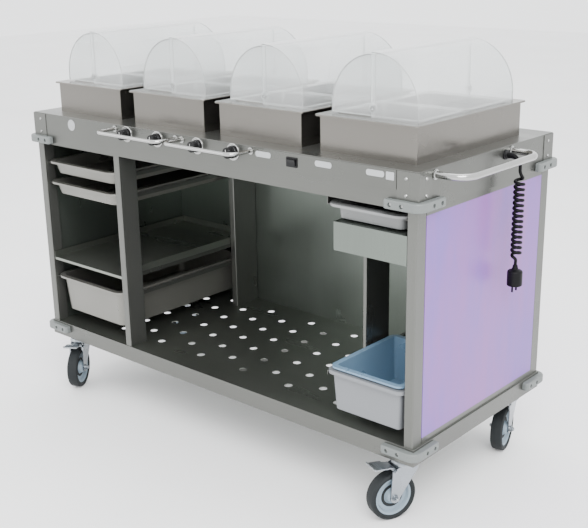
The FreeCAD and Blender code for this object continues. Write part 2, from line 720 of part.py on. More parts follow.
def dome_half(name, side, radius, length, skirt):
    """Half of a roll-top cover: a quarter tube and two end plates.

    The local origin is the pivot's axis, side is +1 for the half on +X.
    """
    body = new_body(name)
    wall, lap, hole = dim.dome_wall, dim.dome_overlap, dim.dome_pin / 2 + 0.05
    inner = radius - wall
    lift = math.asin(lap / radius)
    lap_in = inner * math.sin(lift)

    def quarter(r, offset):
        middle = (side * r * math.sin(math.pi / 4), r * math.cos(math.pi / 4))
        return arc((-side * offset, r * math.cos(lift)), middle, (side * r, 0))

    def shell_profile(sketch):
        draw_outline(sketch, [
            quarter(radius, lap), line((side * radius, 0), (side * radius, -skirt)),
            line((side * radius, -skirt), (side * inner, -skirt)),
            line((side * inner, -skirt), (side * inner, 0)),
            quarter(inner, lap_in),
            line((-side * lap_in, inner * math.cos(lift)), (-side * lap, radius * math.cos(lift))),
        ])

    shell = new_sketch(body, "XZ_Plane")
    shell_profile(shell)
    pad(body, shell, f"{length}", midplane=True)
    lobe = dim.dome_lobe
    for end in (-1, 1):
        plate = new_sketch(body, "XZ_Plane", offset=end * (length - wall) / 2)
        foot = -min(skirt, lobe)
        low = [line((side * radius, 0), (side * radius, -skirt)),
               line((side * radius, -skirt), (-side * lap, -skirt))]
        draw_outline(plate, [
            quarter(radius, lap), *low,
            line((-side * lap, -skirt), (-side * lap, foot * 0.9)),
            arc((-side * lap, foot * 0.9), (-side * lobe, 0), (-side * lap, -foot * 0.9)),
            line((-side * lap, -foot * 0.9), (-side * lap, radius * math.cos(lift))),
        ])
        pad(body, plate, f"{wall}", midplane=True)
    pin_hole = new_sketch(body, "XZ_Plane")
    draw_circle(pin_hole, f"{2 * hole}")
    pocket(body, pin_hole)
    return body


def dome_pin(x, y, outward):
    """A headed pivot pin through both end plates."""
    body = new_body("Dome_Pin")
    sketch = new_sketch(body)
    radius, head, length = dim.dome_pin / 2, dim.dome_pin, 3 * dim.dome_wall + dim.dome_gap
    draw_outline(sketch, polygon([(0, 0), (radius, 0), (radius, length), (head, length),
                                  (head, length + 2), (0, length + 2)]))
    revolve(body, sketch)
    angle = 180 if outward < 0 else 0
    return place(body, x, y, PIVOT_Z, Rotation(Vector(0, 0, 1), angle))


def make_domes():
    fixed = []
    moving_radius = dim.dome_radius - dim.dome_wall - dim.dome_gap
    moving_length = dim.dome_length - 2 * (dim.dome_wall + dim.dome_gap)
    for number, x in enumerate(SERVER_X, start=1):
        half = dome_half("Dome_Fixed", 1, dim.dome_radius, dim.dome_length, dim.dome_skirt)
        fixed.append(place(half, x, SERVER_Y, PIVOT_Z))
        inward = dim.dome_length / 2 - 3 * dim.dome_wall - dim.dome_gap
        for outward in (-1, 1):
            fixed.append(dome_pin(x, SERVER_Y + outward * inward, outward))
        cover = dome_half("Dome_Cover", -1, moving_radius, moving_length, dim.dome_skirt - 4)
        node(f"dome_cover_{number}", place(cover, x, SERVER_Y, PIVOT_Z))
    node("dome_fixed_halves", *fixed)


# ---------------------------------------------------------------- controls

def flat_plate(name, width, height, thickness, radius, x, z, y):
    """A small plate lying on the front, its back face at y."""
    body = new_body(name)
    sketch = new_sketch(body, "XZ_Plane")
    draw_rectangle(sketch, width, height, radius)
    pad(body, sketch, thickness)
    return place(body, x, y, z)


PANEL_LEFT = 216.0
PANEL_FACE = FRONT - dim.panel_gauge
SWITCH_X = 336.0
SWITCH_Z = 857.0


def make_control_panel():
    body = new_body("Control_Panel")
    sketch = new_sketch(body, "XZ_Plane")
    draw_rectangle(sketch, "Dims.panel_length", "Dims.panel_height", "1.5")
    centre_x = PANEL_LEFT + dim.panel_length / 2
    centre_z = TOP_UNDERSIDE - dim.panel_height / 2
    pad(body, sketch, "Dims.panel_gauge")
    node("control_panel", place(body, centre_x, FRONT, centre_z))


def make_label_plates():
    """Blank plates: three for the bays, a square tag and a round badge."""
    members = []
    for x in (243.0, 433.0, 583.0):
        members.append(flat_plate("Label", "Dims.label_length", "Dims.label_height",
                                  "Dims.label_thickness", "6", x, 864, PANEL_FACE))
    members.append(flat_plate("Tag", "Dims.tag_length", "Dims.tag_height", "Dims.label_thickness",
                              "2", 624, 863, PANEL_FACE))
    badge = new_body("Badge")
    sketch = new_sketch(badge, "XZ_Plane")
    draw_circle(sketch, "Dims.badge_diameter")
    pad(badge, sketch, "Dims.label_thickness")
    members.append(place(badge, -518, FRONT, 857))
    node("label_plates", *members)


def make_switch():
    bezel = new_body("Switch_Bezel")
    sketch = new_sketch(bezel, "XZ_Plane")
    draw_rectangle(sketch, "Dims.switch_length", "Dims.switch_height", "2")
    draw_rectangle(sketch, "Dims.switch_length - 2 * Dims.switch_wall",
                   "Dims.switch_height - 2 * Dims.switch_wall")
    pad(bezel, sketch, "2")
    node("switch_bezel", place(bezel, SWITCH_X, PANEL_FACE, SWITCH_Z))
    rocker = new_body("Rocker")
    half = dim.switch_height / 2 - dim.switch_wall - 0.8
    profile = new_sketch(rocker, "YZ_Plane")
    draw_outline(profile, [line((0, -half), (0, half)), line((0, half), (-5.6, half)),
                           arc((-5.6, half), (-4.2, 0), (-5.6, -half)),
                           line((-5.6, -half), (0, -half))])
    width = "Dims.switch_length - 2 * Dims.switch_wall - 1"
    pad(rocker, profile, width, midplane=True)
    pivot = new_sketch(rocker, "YZ_Plane")
    draw_circle(pivot, "2")
    pad(rocker, pivot, width, midplane=True)
    place(rocker, SWITCH_X, PANEL_FACE - 1.2, SWITCH_Z, Rotation(Vector(1, 0, 0), 7))
    node("rocker_switch", rocker)


def knob(number, x):
    """A fluted thermostat knob with a pointer ridge and a bore for its spindle."""
    body = new_body("Knob")
    radius, height = dim.knob_diameter / 2, dim.knob_height
    sketch = new_sketch(body, "XY_Plane")
    draw_outline(sketch, [line((0, 0), (0, height)), line((0, height), (radius - 4, height)),
                          arc((radius - 4, height), (radius - 2.6, height - 0.6), (radius - 2, height - 2)),
                          line((radius - 2, height - 2), (radius - 1.4, 5)),
                          line((radius - 1.4, 5), (radius, 3.5)), line((radius, 3.5), (radius, 0)),
                          line((radius, 0), (0, 0))])
    turned = revolve(body, sketch)
    flute = new_sketch(body, "XZ_Plane", offset=-height)
    draw_circle(flute, "3.2", radius - 0.9, 0)
    doc.recompute()
    before = turned.Shape.Volume
    cut = pocket(body, flute, f"{height - 5}", reverse=True)
    doc.recompute()
    assert cut.Shape.Volume < before
    flutes = body.newObject("PartDesign::PolarPattern", "Flutes")
    flutes.Originals = [cut]
    flutes.Axis = (flute, ["N_Axis"])
    flutes.Angle = 360
    flutes.Occurrences = 12
    body.Tip = flutes
    ridge = new_sketch(body, "XZ_Plane", offset=-height)
    draw_rectangle(ridge, "2.4", "Dims.knob_diameter - 10", "1")
    pad(body, ridge, "1.2", reverse=True)
    bore = new_sketch(body, "XZ_Plane")
    draw_circle(bore, "Dims.spindle_diameter + 0.1")
    pocket(body, bore, "15", reverse=False)
    place(body, x, FRONT - dim.bezel_thickness - 1, KNOB_Z, Rotation(Vector(0, 0, 1), 180))
    node(f"knob_{number}", body)


def make_knobs():
    bezels, thermostats = [], []
    for number, x in enumerate(KNOB_X, start=1):
        knob(number, x)
        ring = new_body("Bezel")
        sketch = new_sketch(ring, "XZ_Plane")
        draw_circle(sketch, "Dims.bezel_diameter")
        draw_circle(sketch, "Dims.spindle_diameter + 4")
        disc = pad(ring, sketch, "Dims.bezel_thickness")
        edge = -(dim.bezel_thickness - 0.01)
        big = dim.bezel_diameter - 1
        round_edges(ring, disc, 1.5, lambda e: e.BoundBox.YMax < edge and e.BoundBox.XLength > big)
        bezels.append(place(ring, x, FRONT, KNOB_Z))
        control = new_body("Thermostat")
        case = new_sketch(control, "XZ_Plane")
        draw_rectangle(case, "Dims.thermostat_size", "Dims.thermostat_size - 4", "2")
        pad(control, case, "Dims.thermostat_size - 6", reverse=True)
        shaft = new_sketch(control, "XZ_Plane")
        draw_circle(shaft, "Dims.spindle_diameter")
        pad(control, shaft, "Dims.gauge + Dims.bezel_thickness + 14")
        thermostats.append(place(control, x, FRONT + dim.gauge, KNOB_Z))
    node("knob_bezels", *bezels)
    node("thermostats", *thermostats)


# ---------------------------------------------------------------- rails, handle, bumpers

def hoop(name, length, reach, bend, diameter, foot):
    """A bent rod with a round foot on each end; the feet stand on the local XZ plane."""
    body = new_body(name)
    half, out, r = evaluate(length) / 2, evaluate(reach), evaluate(bend)
    s = r * (1 - math.sqrt(0.5))
    path = new_sketch(body, "XY_Plane")
    draw_outline(path, [line((-half, 0), (-half, r - out)),
                        arc((-half, r - out), (-half + s, -out + s), (-half + r, -out)),
                        line((-half + r, -out), (half - r, -out)),
                        arc((half - r, -out), (half - s, -out + s), (half, r - out)),
                        line((half, r - out), (half, 0))])
    section = new_sketch(body, "XZ_Plane")
    draw_circle(section, diameter, -half, 0)
    pipe = body.newObject("PartDesign::AdditivePipe", name + "_Rod")
    pipe.Profile = section
    pipe.Spine = (path, ["Edge1", "Edge2", "Edge3", "Edge4", "Edge5"])
    feet = new_sketch(body, "XZ_Plane")
    draw_circle(feet, foot, -half, 0)
    draw_circle(feet, foot, half, 0)
    pad(body, feet, "Dims.foot_thickness")
    return body


GUARD_X = (-195.0, 77.0)


def make_knob_guards():
    members = []
    for x in GUARD_X:
        rod = hoop("Guard", "Dims.guard_length", "Dims.guard_reach", "Dims.guard_bend",
                   "Dims.guard_rod", "Dims.guard_foot")
        members.append(place(rod, x, FRONT, GUARD_Z))
    node("knob_guards", *members)


HANDLE_Y = -76.0
HANDLE_Z = 866.0


def make_push_handle():
    bow = hoop("Handle", "Dims.handle_length", "Dims.handle_reach", "Dims.handle_bend",
               "Dims.handle_tube", "Dims.handle_foot")
    place(bow, HALF_LENGTH, HANDLE_Y, HANDLE_Z, Rotation(Vector(0, 0, 1), 90))
    node("push_handle", bow)


def bumper(sx, sy, z, proud):
    """A rounded angle that wraps one corner, with two screw recesses in each leg."""
    body = new_body("Bumper")
    leg, t, r, end = dim.bumper_leg, dim.bumper_thickness, dim.bumper_round, 9.0
    s, q = r * (1 - math.sqrt(0.5)), end * (1 - math.sqrt(0.5))
    sketch = new_sketch(body, offset=-dim.bumper_height / 2)
    draw_outline(sketch, [
        line((0, 0), (-leg, 0)), line((-leg, 0), (-leg, t - end)),
        arc((-leg, t - end), (q - leg, t - q), (end - leg, t)),
        line((end - leg, t), (t - r, t)), arc((t - r, t), (t - s, t - s), (t, t - r)),
        line((t, t - r), (t, end - leg)), arc((t, end - leg), (t - q, q - leg), (t - end, -leg)),
        line((t - end, -leg), (0, -leg)), line((0, -leg), (0, 0)),
    ])
    angle = pad(body, sketch, "Dims.bumper_height")
    round_edges(body, angle, 4, lambda e: e.BoundBox.ZLength < 0.01 and not on_inner_faces(e))
    for plane, sign in (("XZ_Plane", -1), ("YZ_Plane", 1)):
        recess = new_sketch(body, plane, offset=sign * t)
        for run in (0.42, 0.78):
            draw_circle(recess, "Dims.screw_head + 2", -leg * run, 0)
        pocket(body, recess, "6", reverse=sign < 0)
    turn = {(1, 1): 0, (-1, 1): 90, (-1, -1): 180, (1, -1): 270}[(sx, sy)]
    return place(body, sx * (HALF_LENGTH + proud), sy * (HALF_DEPTH + proud), z,
                 Rotation(Vector(0, 0, 1), turn))


def on_inner_faces(edge):
    """True for an edge that lies on one of the faces against the cabinet."""
    box = edge.BoundBox
    return box.YMax < 0.01 and box.YLength < 0.01 or box.XMax < 0.01 and box.XLength < 0.01


UPPER_BUMPER_Z = 802.0
LOWER_BUMPER_Z = 198.0


def make_bumpers():
    members = [bumper(sx, sy, UPPER_BUMPER_Z, dim.block_proud) for sx, sy in CORNERS]
    members += [bumper(sx, sy, LOWER_BUMPER_Z, 0.0) for sx, sy in CORNERS]
    node("corner_bumpers", *members)


def screw(x, y, z, rotation):
    """A bevelled screw head; its flat side is the local z = 0 plane."""
    body = new_body("Screw")
    r, rise = dim.screw_head / 2, dim.screw_rise
    sketch = new_sketch(body, "XZ_Plane")
    draw_outline(sketch, polygon([(0, 0), (r, 0), (r, 0.7), (r - 1.2, rise), (0, rise)]))
    revolve(body, sketch)
    socket = new_sketch(body, offset=rise)
    draw_circle(socket, "Dims.screw_head * 0.35")
    pocket(body, socket, "1")
    return place(body, x, y, z, rotation)


def make_frame_screws():
    """Two screws in each outer face of the corner blocks, two in each bumper leg."""
    members = []
    outward_x = {1: Rotation(Vector(0, 1, 0), 90), -1: Rotation(Vector(0, 1, 0), -90)}
    outward_y = {1: Rotation(Vector(1, 0, 0), -90), -1: Rotation(Vector(1, 0, 0), 90)}
    for sx, sy in CORNERS:
        x, y = sx * (HALF_LENGTH + dim.block_proud), sy * (HALF_DEPTH + dim.block_proud)
        for z in (824.0, 862.0):
            members.append(screw(x - sx * dim.block_length * 0.6, y, z, outward_y[sy]))
            members.append(screw(x, y - sy * dim.block_depth * 0.6, z, outward_x[sx]))
        for z, proud in ((UPPER_BUMPER_Z, dim.block_proud), (LOWER_BUMPER_Z, 0.0)):
            face = dim.bumper_thickness + proud - 6
            for run in (0.42, 0.78):
                along = proud - dim.bumper_leg * run
                members.append(screw(sx * (HALF_LENGTH + along), sy * (HALF_DEPTH + face), z,
                                     outward_y[sy]))
                members.append(screw(sx * (HALF_LENGTH + face), sy * (HALF_DEPTH + along), z,
                                     outward_x[sx]))
    node("frame_screws", *members)


# ---------------------------------------------------------------- casters

CASTERS = {"front_left": (-1, -1, -58.0, True), "front_right": (1, -1, -113.0, True),
           "rear_left": (-1, 1, -95.0, False), "rear_right": (1, 1, -76.0, False)}
AXLE_Z = dim.wheel_diameter / 2
PEDAL_D = 37.0
PEDAL_Z = 134.0


def caster_plate(x, y):
    """The top plate, its ball race and the kingpin that the fork turns on."""
    body = new_body("Caster_Plate")
    sketch = new_sketch(body, height="Dims.caster_height - 4")
    draw_rectangle(sketch, "Dims.plate_length", "Dims.plate_width", "8")
    pad(body, sketch, "4")
    race = new_sketch(body, height="Dims.caster_height - 13")
    draw_circle(race, "Dims.crown_diameter - 8")
    pad(body, race, "9")
    pin = new_sketch(body, height="Dims.caster_height - 36")
    draw_circle(pin, "Dims.kingpin_diameter")
    pad(body, pin, "24")
    bolts = new_sketch(body, height="Dims.caster_height - 4")
    for sx, sy in CORNERS:
        draw_circle(bolts, "8.5", sx * 40, sy * 32)
    pocket(body, bolts, "4", reverse=True)
    return place(body, x, y, 0)


def fork_body():
    """The swivel head and the two legs, trailing along local +X."""
    body = new_body("Fork")
    crown = dim.crown_diameter / 2
    low, high = dim.caster_height - 32, dim.caster_height - 14
    sketch = new_sketch(body, "XZ_Plane")
    draw_outline(sketch, [line((0, low), (crown, low)), line((crown, low), (crown, low + 6)),
                          arc((crown, low + 6), (crown - 3.5, high - 4), (crown - 9, high)),
                          line((crown - 9, high), (0, high)), line((0, high), (0, low))])
    revolve(body, sketch)
    for side in (-1, 1):
        middle = side * (dim.fork_gap + dim.fork_wall) / 2
        leg = new_sketch(body, "XZ_Plane", offset=middle)
        tail, nose, end = dim.trail, 27.0, 13.0
        draw_outline(leg, [line((-nose, low + 5), (-nose + 2, low - 8)),
                           line((-nose + 2, low - 8), (tail - end, AXLE_Z - 2)),
                           arc((tail - end, AXLE_Z - 2), (tail, AXLE_Z - end), (tail + end, AXLE_Z)),
                           line((tail + end, AXLE_Z), (tail + 8, low - 4)),
                           line((tail + 8, low - 4), (nose, low + 5)),
                           line((nose, low + 5), (-nose, low + 5))])
        pad(body, leg, "Dims.fork_wall", midplane=True)
    bore = new_sketch(body, height=f"{low - 1}")
    draw_circle(bore, "Dims.kingpin_diameter + 0.1")
    pocket(body, bore, "Dims.kingpin_diameter + 6", reverse=True)
    holes = new_sketch(body, "XZ_Plane")
    draw_circle(holes, "Dims.axle_diameter + 0.1", dim.trail, AXLE_Z)
    draw_circle(holes, "Dims.pedal_pin + 0.1", PEDAL_D, PEDAL_Z)
    pocket(body, holes)
    return body


def cross_bolt(name, diameter, head, x, z):
    """A headed bolt through both fork legs, along local Y."""
    body = new_body(name)
    span = dim.fork_gap / 2 + dim.fork_wall
    r, h = evaluate(diameter) / 2, evaluate(head) / 2
    sketch = new_sketch(body, "XY_Plane")
    draw_outline(sketch, polygon([(0, -span - 4), (h, -span - 4), (h, -span - 0.1),
                                  (r, -span - 0.1), (r, span + 0.1), (h, span + 0.1),
                                  (h, span + 4), (0, span + 4)]))
    revolve(body, sketch)
    body.Placement = Placement(Vector(x, 0, z), Rotation())
    return body


def wheel_hub():
    body = new_body("Hub")
    rim, boss, web = dim.hub_diameter / 2, 17.0, 5.0
    bore = dim.axle_diameter / 2 + 0.05
    half = dim.fork_gap / 2 - 1
    sketch = new_sketch(body, "XY_Plane")
    draw_outline(sketch, polygon([
        (bore, -half), (boss - 4, -half), (boss, -half + 4), (boss + 4, -web), (rim - 9, -web),
        (rim - 5, -12), (rim, -13), (rim, 13), (rim - 5, 12), (rim - 9, web), (boss + 4, web),
        (boss, half - 4), (boss - 4, half), (bore, half)]))
    revolve(body, sketch)
    return body


def wheel_tyre():
    body = new_body("Tyre")
    inner, outer, half = dim.hub_diameter / 2, dim.wheel_diameter / 2, dim.wheel_width / 2
    shoulder = 5.0
    sketch = new_sketch(body, "XY_Plane")
    draw_outline(sketch, [
        line((inner, -13), (inner + 4, -half)), line((inner + 4, -half), (outer - shoulder, -half)),
        arc((outer - shoulder, -half), (outer - 1.5, 1.5 - half), (outer - 0.5, shoulder - half)),
        arc((outer - 0.5, shoulder - half), (outer, 0), (outer - 0.5, half - shoulder)),
        arc((outer - 0.5, half - shoulder), (outer - 1.5, half - 1.5), (outer - shoulder, half)),
        line((outer - shoulder, half), (inner + 4, half)), line((inner + 4, half), (inner, 13)),
        line((inner, 13), (inner, -13))])
    revolve(body, sketch)
    return body


def brake_pedal():
    """A pressed lever on a hinge barrel between the fork legs."""
    body = new_body("Pedal")
    z, d = PEDAL_Z, PEDAL_D
    lever = new_sketch(body, "XZ_Plane")
    draw_outline(lever, [
        line((d + 1, z + 2), (d + 6, z + 6)), arc((d + 6, z + 6), (d + 32, z + 12), (d + 58, z + 14)),
        line((d + 58, z + 14), (d + 60, z + 20)), line((d + 60, z + 20), (d + 57, z + 20.5)),
        line((d + 57, z + 20.5), (d + 55, z + 17)),
        arc((d + 55, z + 17), (d + 30, z + 15), (d + 4, z + 9)), line((d + 4, z + 9), (d - 2, z + 4)),
        line((d - 2, z + 4), (d + 1, z + 2))])
    pad(body, lever, "Dims.fork_gap - 3", midplane=True)
    barrel = new_sketch(body, "XZ_Plane")
    draw_circle(barrel, "Dims.pedal_pin + 5", d, z)
    pad(body, barrel, "Dims.fork_gap - 3", midplane=True)
    plate = new_sketch(body, "XZ_Plane")
    draw_outline(plate, [
        arc((d + 20, z + 10.6), (d + 40, z + 13.4), (d + 58, z + 14)),
        line((d + 58, z + 14), (d + 60, z + 20)), line((d + 60, z + 20), (d + 57, z + 20.5)),
        line((d + 57, z + 20.5), (d + 55, z + 17)),
        arc((d + 55, z + 17), (d + 38, z + 16), (d + 20, z + 13.6)),
        line((d + 20, z + 13.6), (d + 20, z + 10.6))])
    pad(body, plate, "Dims.pedal_width", midplane=True)
    bore = new_sketch(body, "XZ_Plane")
    draw_circle(bore, "Dims.pedal_pin + 0.1", d, z)
    pocket(body, bore)
    return body


def make_casters():
    plates = []
    for label, (sx, sy, angle, braked) in CASTERS.items():
        x, y = sx * CASTER_X, sy * CASTER_Y
        turn = Rotation(Vector(0, 0, 1), angle)
        reach = turn.multVec(Vector(dim.trail, 0, 0))
        plates.append(caster_plate(x, y))
        members = [fork_body(), cross_bolt("Axle", "Dims.axle_diameter", "17", dim.trail, AXLE_Z)]
        if braked:
            members.append(cross_bolt("Pedal_Pin", "Dims.pedal_pin", "9", PEDAL_D, PEDAL_Z))
        fork = node("caster_fork_" + label, *members)
        place(fork, x, y, 0, turn)
        tyre = node("caster_tyre_" + label, wheel_tyre())
        place(tyre, x + reach.x, y + reach.y, AXLE_Z, turn)
        hub = node("caster_hub_" + label, wheel_hub())
        place(hub, x + reach.x, y + reach.y, AXLE_Z, turn)
        if braked:
            pedal = node("brake_pedal_" + label, brake_pedal())
            place(pedal, x, y, 0, turn)
    node("caster_plates", *plates)


# ---------------------------------------------------------------- mains cord

GLAND_Y = 62.0
GLAND_Z = 860.0


def make_gland():
    body = new_body("Gland")
    r, length, cord = dim.gland_diameter / 2, dim.gland_length, dim.cord_diameter / 2
    sketch = new_sketch(body, "XZ_Plane")
    draw_outline(sketch, polygon([(0, 0), (0, r), (4, r), (5, r - 2), (8, r - 2.5),
                                  (length, cord + 1), (length, 0)]))
    revolve(body, sketch, "H_Axis")
    node("cable_gland", place(body, HALF_LENGTH, GLAND_Y, GLAND_Z))


def rounded_route(points):
    """Straight runs joined by tangent arcs as large as the shorter run allows."""
    edges, start = [], points[0]
    for before, corner, after in zip(points, points[1:], points[2:]):
        back, ahead = before - corner, after - corner
        turn = math.pi - back.getAngle(ahead)
        cut = 0.45 * min(back.Length, ahead.Length)
        radius = cut / math.tan(turn / 2)
        print(f"cord turn {math.degrees(turn):.0f} deg, radius {radius:.1f} mm")
        enter = corner + back.normalize() * cut
        leave = corner + ahead.normalize() * cut
        bisector = (enter + leave) * 0.5 - corner
        centre_distance = math.hypot(radius, cut)
        middle = corner + bisector.normalize() * (centre_distance - radius)
        edges.append(Part.LineSegment(start, enter).toShape())
        edges.append(Part.Arc(enter, middle, leave).toShape())
        start = leave
    edges.append(Part.LineSegment(start, points[-1]).toShape())
    return Part.Wire(edges)


# from the gland's end, level at first and then turning down: reach along X, drop along Z
TAIL_POINTS = [(0.0, 0.0), (10.6, 0.0), (20.4, -4.1), (27.9, -11.6), (31.9, -21.4), (31.9, -32.0)]
TAIL_ROUTE = [Vector(HALF_LENGTH + dim.gland_length + x, GLAND_Y, GLAND_Z + z) for x, z in TAIL_POINTS]
COIL_X = TAIL_ROUTE[-1].x
COIL_TOP = TAIL_ROUTE[-1].z


def make_cord():
    """The short straight tail, the coiled stretch as one fat tube, and the plug."""
    tail = doc.addObject("Part::Feature", "Cord_Tail")
    wire = rounded_route(TAIL_ROUTE)
    circle = Part.Circle(TAIL_ROUTE[0], Vector(1, 0, 0), dim.cord_diameter / 2)
    tail.Shape = wire.makePipeShell([Part.Wire(circle.toShape())], True, False)
    expected = math.pi * (dim.cord_diameter / 2) ** 2 * wire.Length
    print(f"tail volume {tail.Shape.Volume:.0f}, section times length {expected:.0f}")
    node("cord_tail", place(tail))
    coil = doc.addObject("Part::Cylinder", "Cord_Coil")
    bind(coil, Radius="Dims.coil_diameter / 2", Height="Dims.coil_length")
    node("cord_coil", place(coil, COIL_X, GLAND_Y, COIL_TOP - dim.coil_length))


def make_plug():
    body = new_body("Plug")
    r, length, boot = dim.plug_diameter / 2, dim.plug_length, dim.boot_length
    cord = dim.cord_diameter / 2
    sketch = new_sketch(body, "XZ_Plane")
    draw_outline(sketch, [
        line((0, 0), (cord + 1.5, 0)), line((cord + 1.5, 0), (cord + 4, -boot)),
        line((cord + 4, -boot), (r - 5, -boot - 3)),
        arc((r - 5, -boot - 3), (r - 1.4, -boot - 5), (r, -boot - 9)),
        line((r, -boot - 9), (r, -boot - length + 3)),
        arc((r, -boot - length + 3), (r - 0.9, -boot - length + 0.9), (r - 3, -boot - length)),
        line((r - 3, -boot - length), (0, -boot - length)), line((0, -boot - length), (0, 0))])
    revolve(body, sketch)
    pins = new_sketch(body, offset=-boot - length + 1)
    for side in (-1, 1):
        draw_circle(pins, "4.8", 0, side * 9.5)
    pad(body, pins, "16", reverse=True)
    node("plug", place(body, COIL_X, GLAND_Y, COIL_TOP - dim.coil_length))


# ---------------------------------------------------------------- build and write

def check_and_write():
    doc.recompute()
    for obj in doc.Objects:
        bad = [state for state in obj.State if state in ("Invalid", "Error")]
        if bad:
            raise RuntimeError(f"{obj.Name} failed: {bad}")
    os.makedirs("parts", exist_ok=True)
    for label, part in nodes.items():
        shape = part.Shape
        if shape.isNull() or not shape.isValid():
            raise RuntimeError(f"{label} has no valid shape")
        print(f"{label}: {len(shape.Solids)} solids, {shape.Volume / 1000:.1f} cm3")
        shape.exportStep(os.path.join("parts", label + ".step"))


make_worktop()
make_aprons()
make_corner_blocks()
make_frame_posts()
make_deck_skirt()
make_deck_floor()
make_deck_channels()
make_bay_uprights()
make_decor_panels()
make_inner_panels()
make_mid_shelf()
make_bay_pans()
make_right_bay_pans()
make_runner_rails()
make_junction_box()
make_servers()
make_domes()
make_control_panel()
make_label_plates()
make_switch()
make_knobs()
make_knob_guards()
make_push_handle()
make_bumpers()
make_frame_screws()
make_casters()
make_gland()
make_cord()
make_plug()
check_and_write()
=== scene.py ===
"""The looks of the food service trolley: camera, cord, materials, trim pieces and studio.

Everything is in metres in the part's own frame: +X towards the push handle, -Y the
operator's side, +Z up, the floor at z = 0.
"""

import json
import math

import bpy
from mathutils import Matrix, Vector


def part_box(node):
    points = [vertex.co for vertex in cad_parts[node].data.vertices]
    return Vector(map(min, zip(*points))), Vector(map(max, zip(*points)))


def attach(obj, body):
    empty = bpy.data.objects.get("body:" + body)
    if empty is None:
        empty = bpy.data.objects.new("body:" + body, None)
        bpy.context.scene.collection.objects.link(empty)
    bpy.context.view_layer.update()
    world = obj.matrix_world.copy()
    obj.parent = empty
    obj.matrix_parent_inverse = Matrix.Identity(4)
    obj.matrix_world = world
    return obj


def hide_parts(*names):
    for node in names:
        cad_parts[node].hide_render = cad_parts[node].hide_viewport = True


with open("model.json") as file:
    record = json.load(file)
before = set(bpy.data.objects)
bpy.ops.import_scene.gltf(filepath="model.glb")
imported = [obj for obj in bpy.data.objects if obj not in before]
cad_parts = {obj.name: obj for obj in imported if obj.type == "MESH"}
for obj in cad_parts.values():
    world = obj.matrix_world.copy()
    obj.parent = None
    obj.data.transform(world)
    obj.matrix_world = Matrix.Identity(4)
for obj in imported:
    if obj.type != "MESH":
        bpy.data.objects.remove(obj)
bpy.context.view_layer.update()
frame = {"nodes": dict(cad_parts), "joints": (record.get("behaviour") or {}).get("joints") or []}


# ---------------------------------------------------------------- helpers

def middle(node):
    low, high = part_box(node)
    return (low + high) / 2


def link(obj):
    bpy.context.scene.collection.objects.link(obj)
    return obj


def mesh_object(name, verts, faces, smooth=True):
    data = bpy.data.meshes.new(name)
    data.from_pydata([tuple(v) for v in verts], [], faces)
    data.update()
    for polygon in data.polygons:
        polygon.use_smooth = smooth
    return link(bpy.data.objects.new(name, data))


def joined(name, shapes):
    """One mesh object from several (verts, faces) shapes."""
    verts, faces = [], []
    for shape_verts, shape_faces in shapes:
        start = len(verts)
        verts += [Vector(v) for v in shape_verts]
        faces += [tuple(start + i for i in face) for face in shape_faces]
    return mesh_object(name, verts, faces, smooth=False)


def moved(shape, matrix):
    verts, faces = shape
    return [matrix @ Vector(v) for v in verts], faces


def turned(profile, steps=32):
    """A shape turned about Z from (radius, z) pairs, closed at ends that lie on the axis."""
    verts, faces = [], []
    for k in range(steps):
        a = 2 * math.pi * k / steps
        verts += [Vector((r * math.cos(a), r * math.sin(a), z)) for r, z in profile]
    n = len(profile)
    for k in range(steps):
        here, there = k * n, (k + 1) % steps * n
        for i in range(n - 1):
            faces.append((here + i, there + i, there + i + 1, here + i + 1))
    return verts, faces


def prism(outline, thickness):
    """A flat outline in XY thickened upwards from z = 0."""
    n = len(outline)
    verts = [Vector((x, y, 0)) for x, y in outline] + [Vector((x, y, thickness)) for x, y in outline]
    faces = [tuple(reversed(range(n))), tuple(range(n, 2 * n))]
    faces += [(i, (i + 1) % n, n + (i + 1) % n, n + i) for i in range(n)]
    return verts, faces


def round_box(width, height, radius, steps=5):
    """The outline of a rectangle with round corners about the origin."""
    points = []
    for k, (sx, sy) in enumerate(((1, 1), (-1, 1), (-1, -1), (1, -1))):
        cx, cy = sx * (width / 2 - radius), sy * (height / 2 - radius)
        for i in range(steps + 1):
            a = (k + i / steps) * math.pi / 2
            points.append((cx + radius * math.cos(a), cy + radius * math.sin(a)))
    return points


def framing(normal, origin):
    """A matrix whose Z axis is the given normal, standing at origin."""
    turn = Vector(normal).to_track_quat("Z", "Y").to_matrix().to_4x4()
    return Matrix.Translation(origin) @ turn


# ---------------------------------------------------------------- camera

CAMERA_LENS = 62.76
CAMERA_TARGET = Vector((0.03485, 0.02875, 0.4751))
CAMERA_DISTANCE = 2.9356
CAMERA_AZIMUTH, CAMERA_ELEVATION, CAMERA_ROLL = 41.53, 17.64, -0.968
CAMERA_REACH = 50


def make_camera():
    """Looks at the target from the handle's side of the front; angles are in degrees."""
    data = bpy.data.cameras.new("Camera")
    data.lens = CAMERA_LENS
    camera = link(bpy.data.objects.new("Camera", data))
    azimuth, elevation, roll = (math.radians(a) for a in (CAMERA_AZIMUTH, CAMERA_ELEVATION,
                                                          CAMERA_ROLL))
    back = Vector((math.sin(azimuth) * math.cos(elevation), -math.cos(azimuth) * math.cos(elevation),
                   math.sin(elevation)))
    right = Vector((math.cos(azimuth), math.sin(azimuth), 0))
    up = back.cross(right)
    tilted_right = math.cos(roll) * right + math.sin(roll) * up
    tilted_up = back.cross(tilted_right)
    turn = Matrix((tilted_right, tilted_up, back)).transposed().to_4x4()
    camera.matrix_world = Matrix.Translation(CAMERA_TARGET + CAMERA_DISTANCE * back) @ turn
    data.clip_end = CAMERA_REACH
    bpy.context.scene.camera = camera


# ---------------------------------------------------------------- cord

CORD_DIAMETER = 0.008
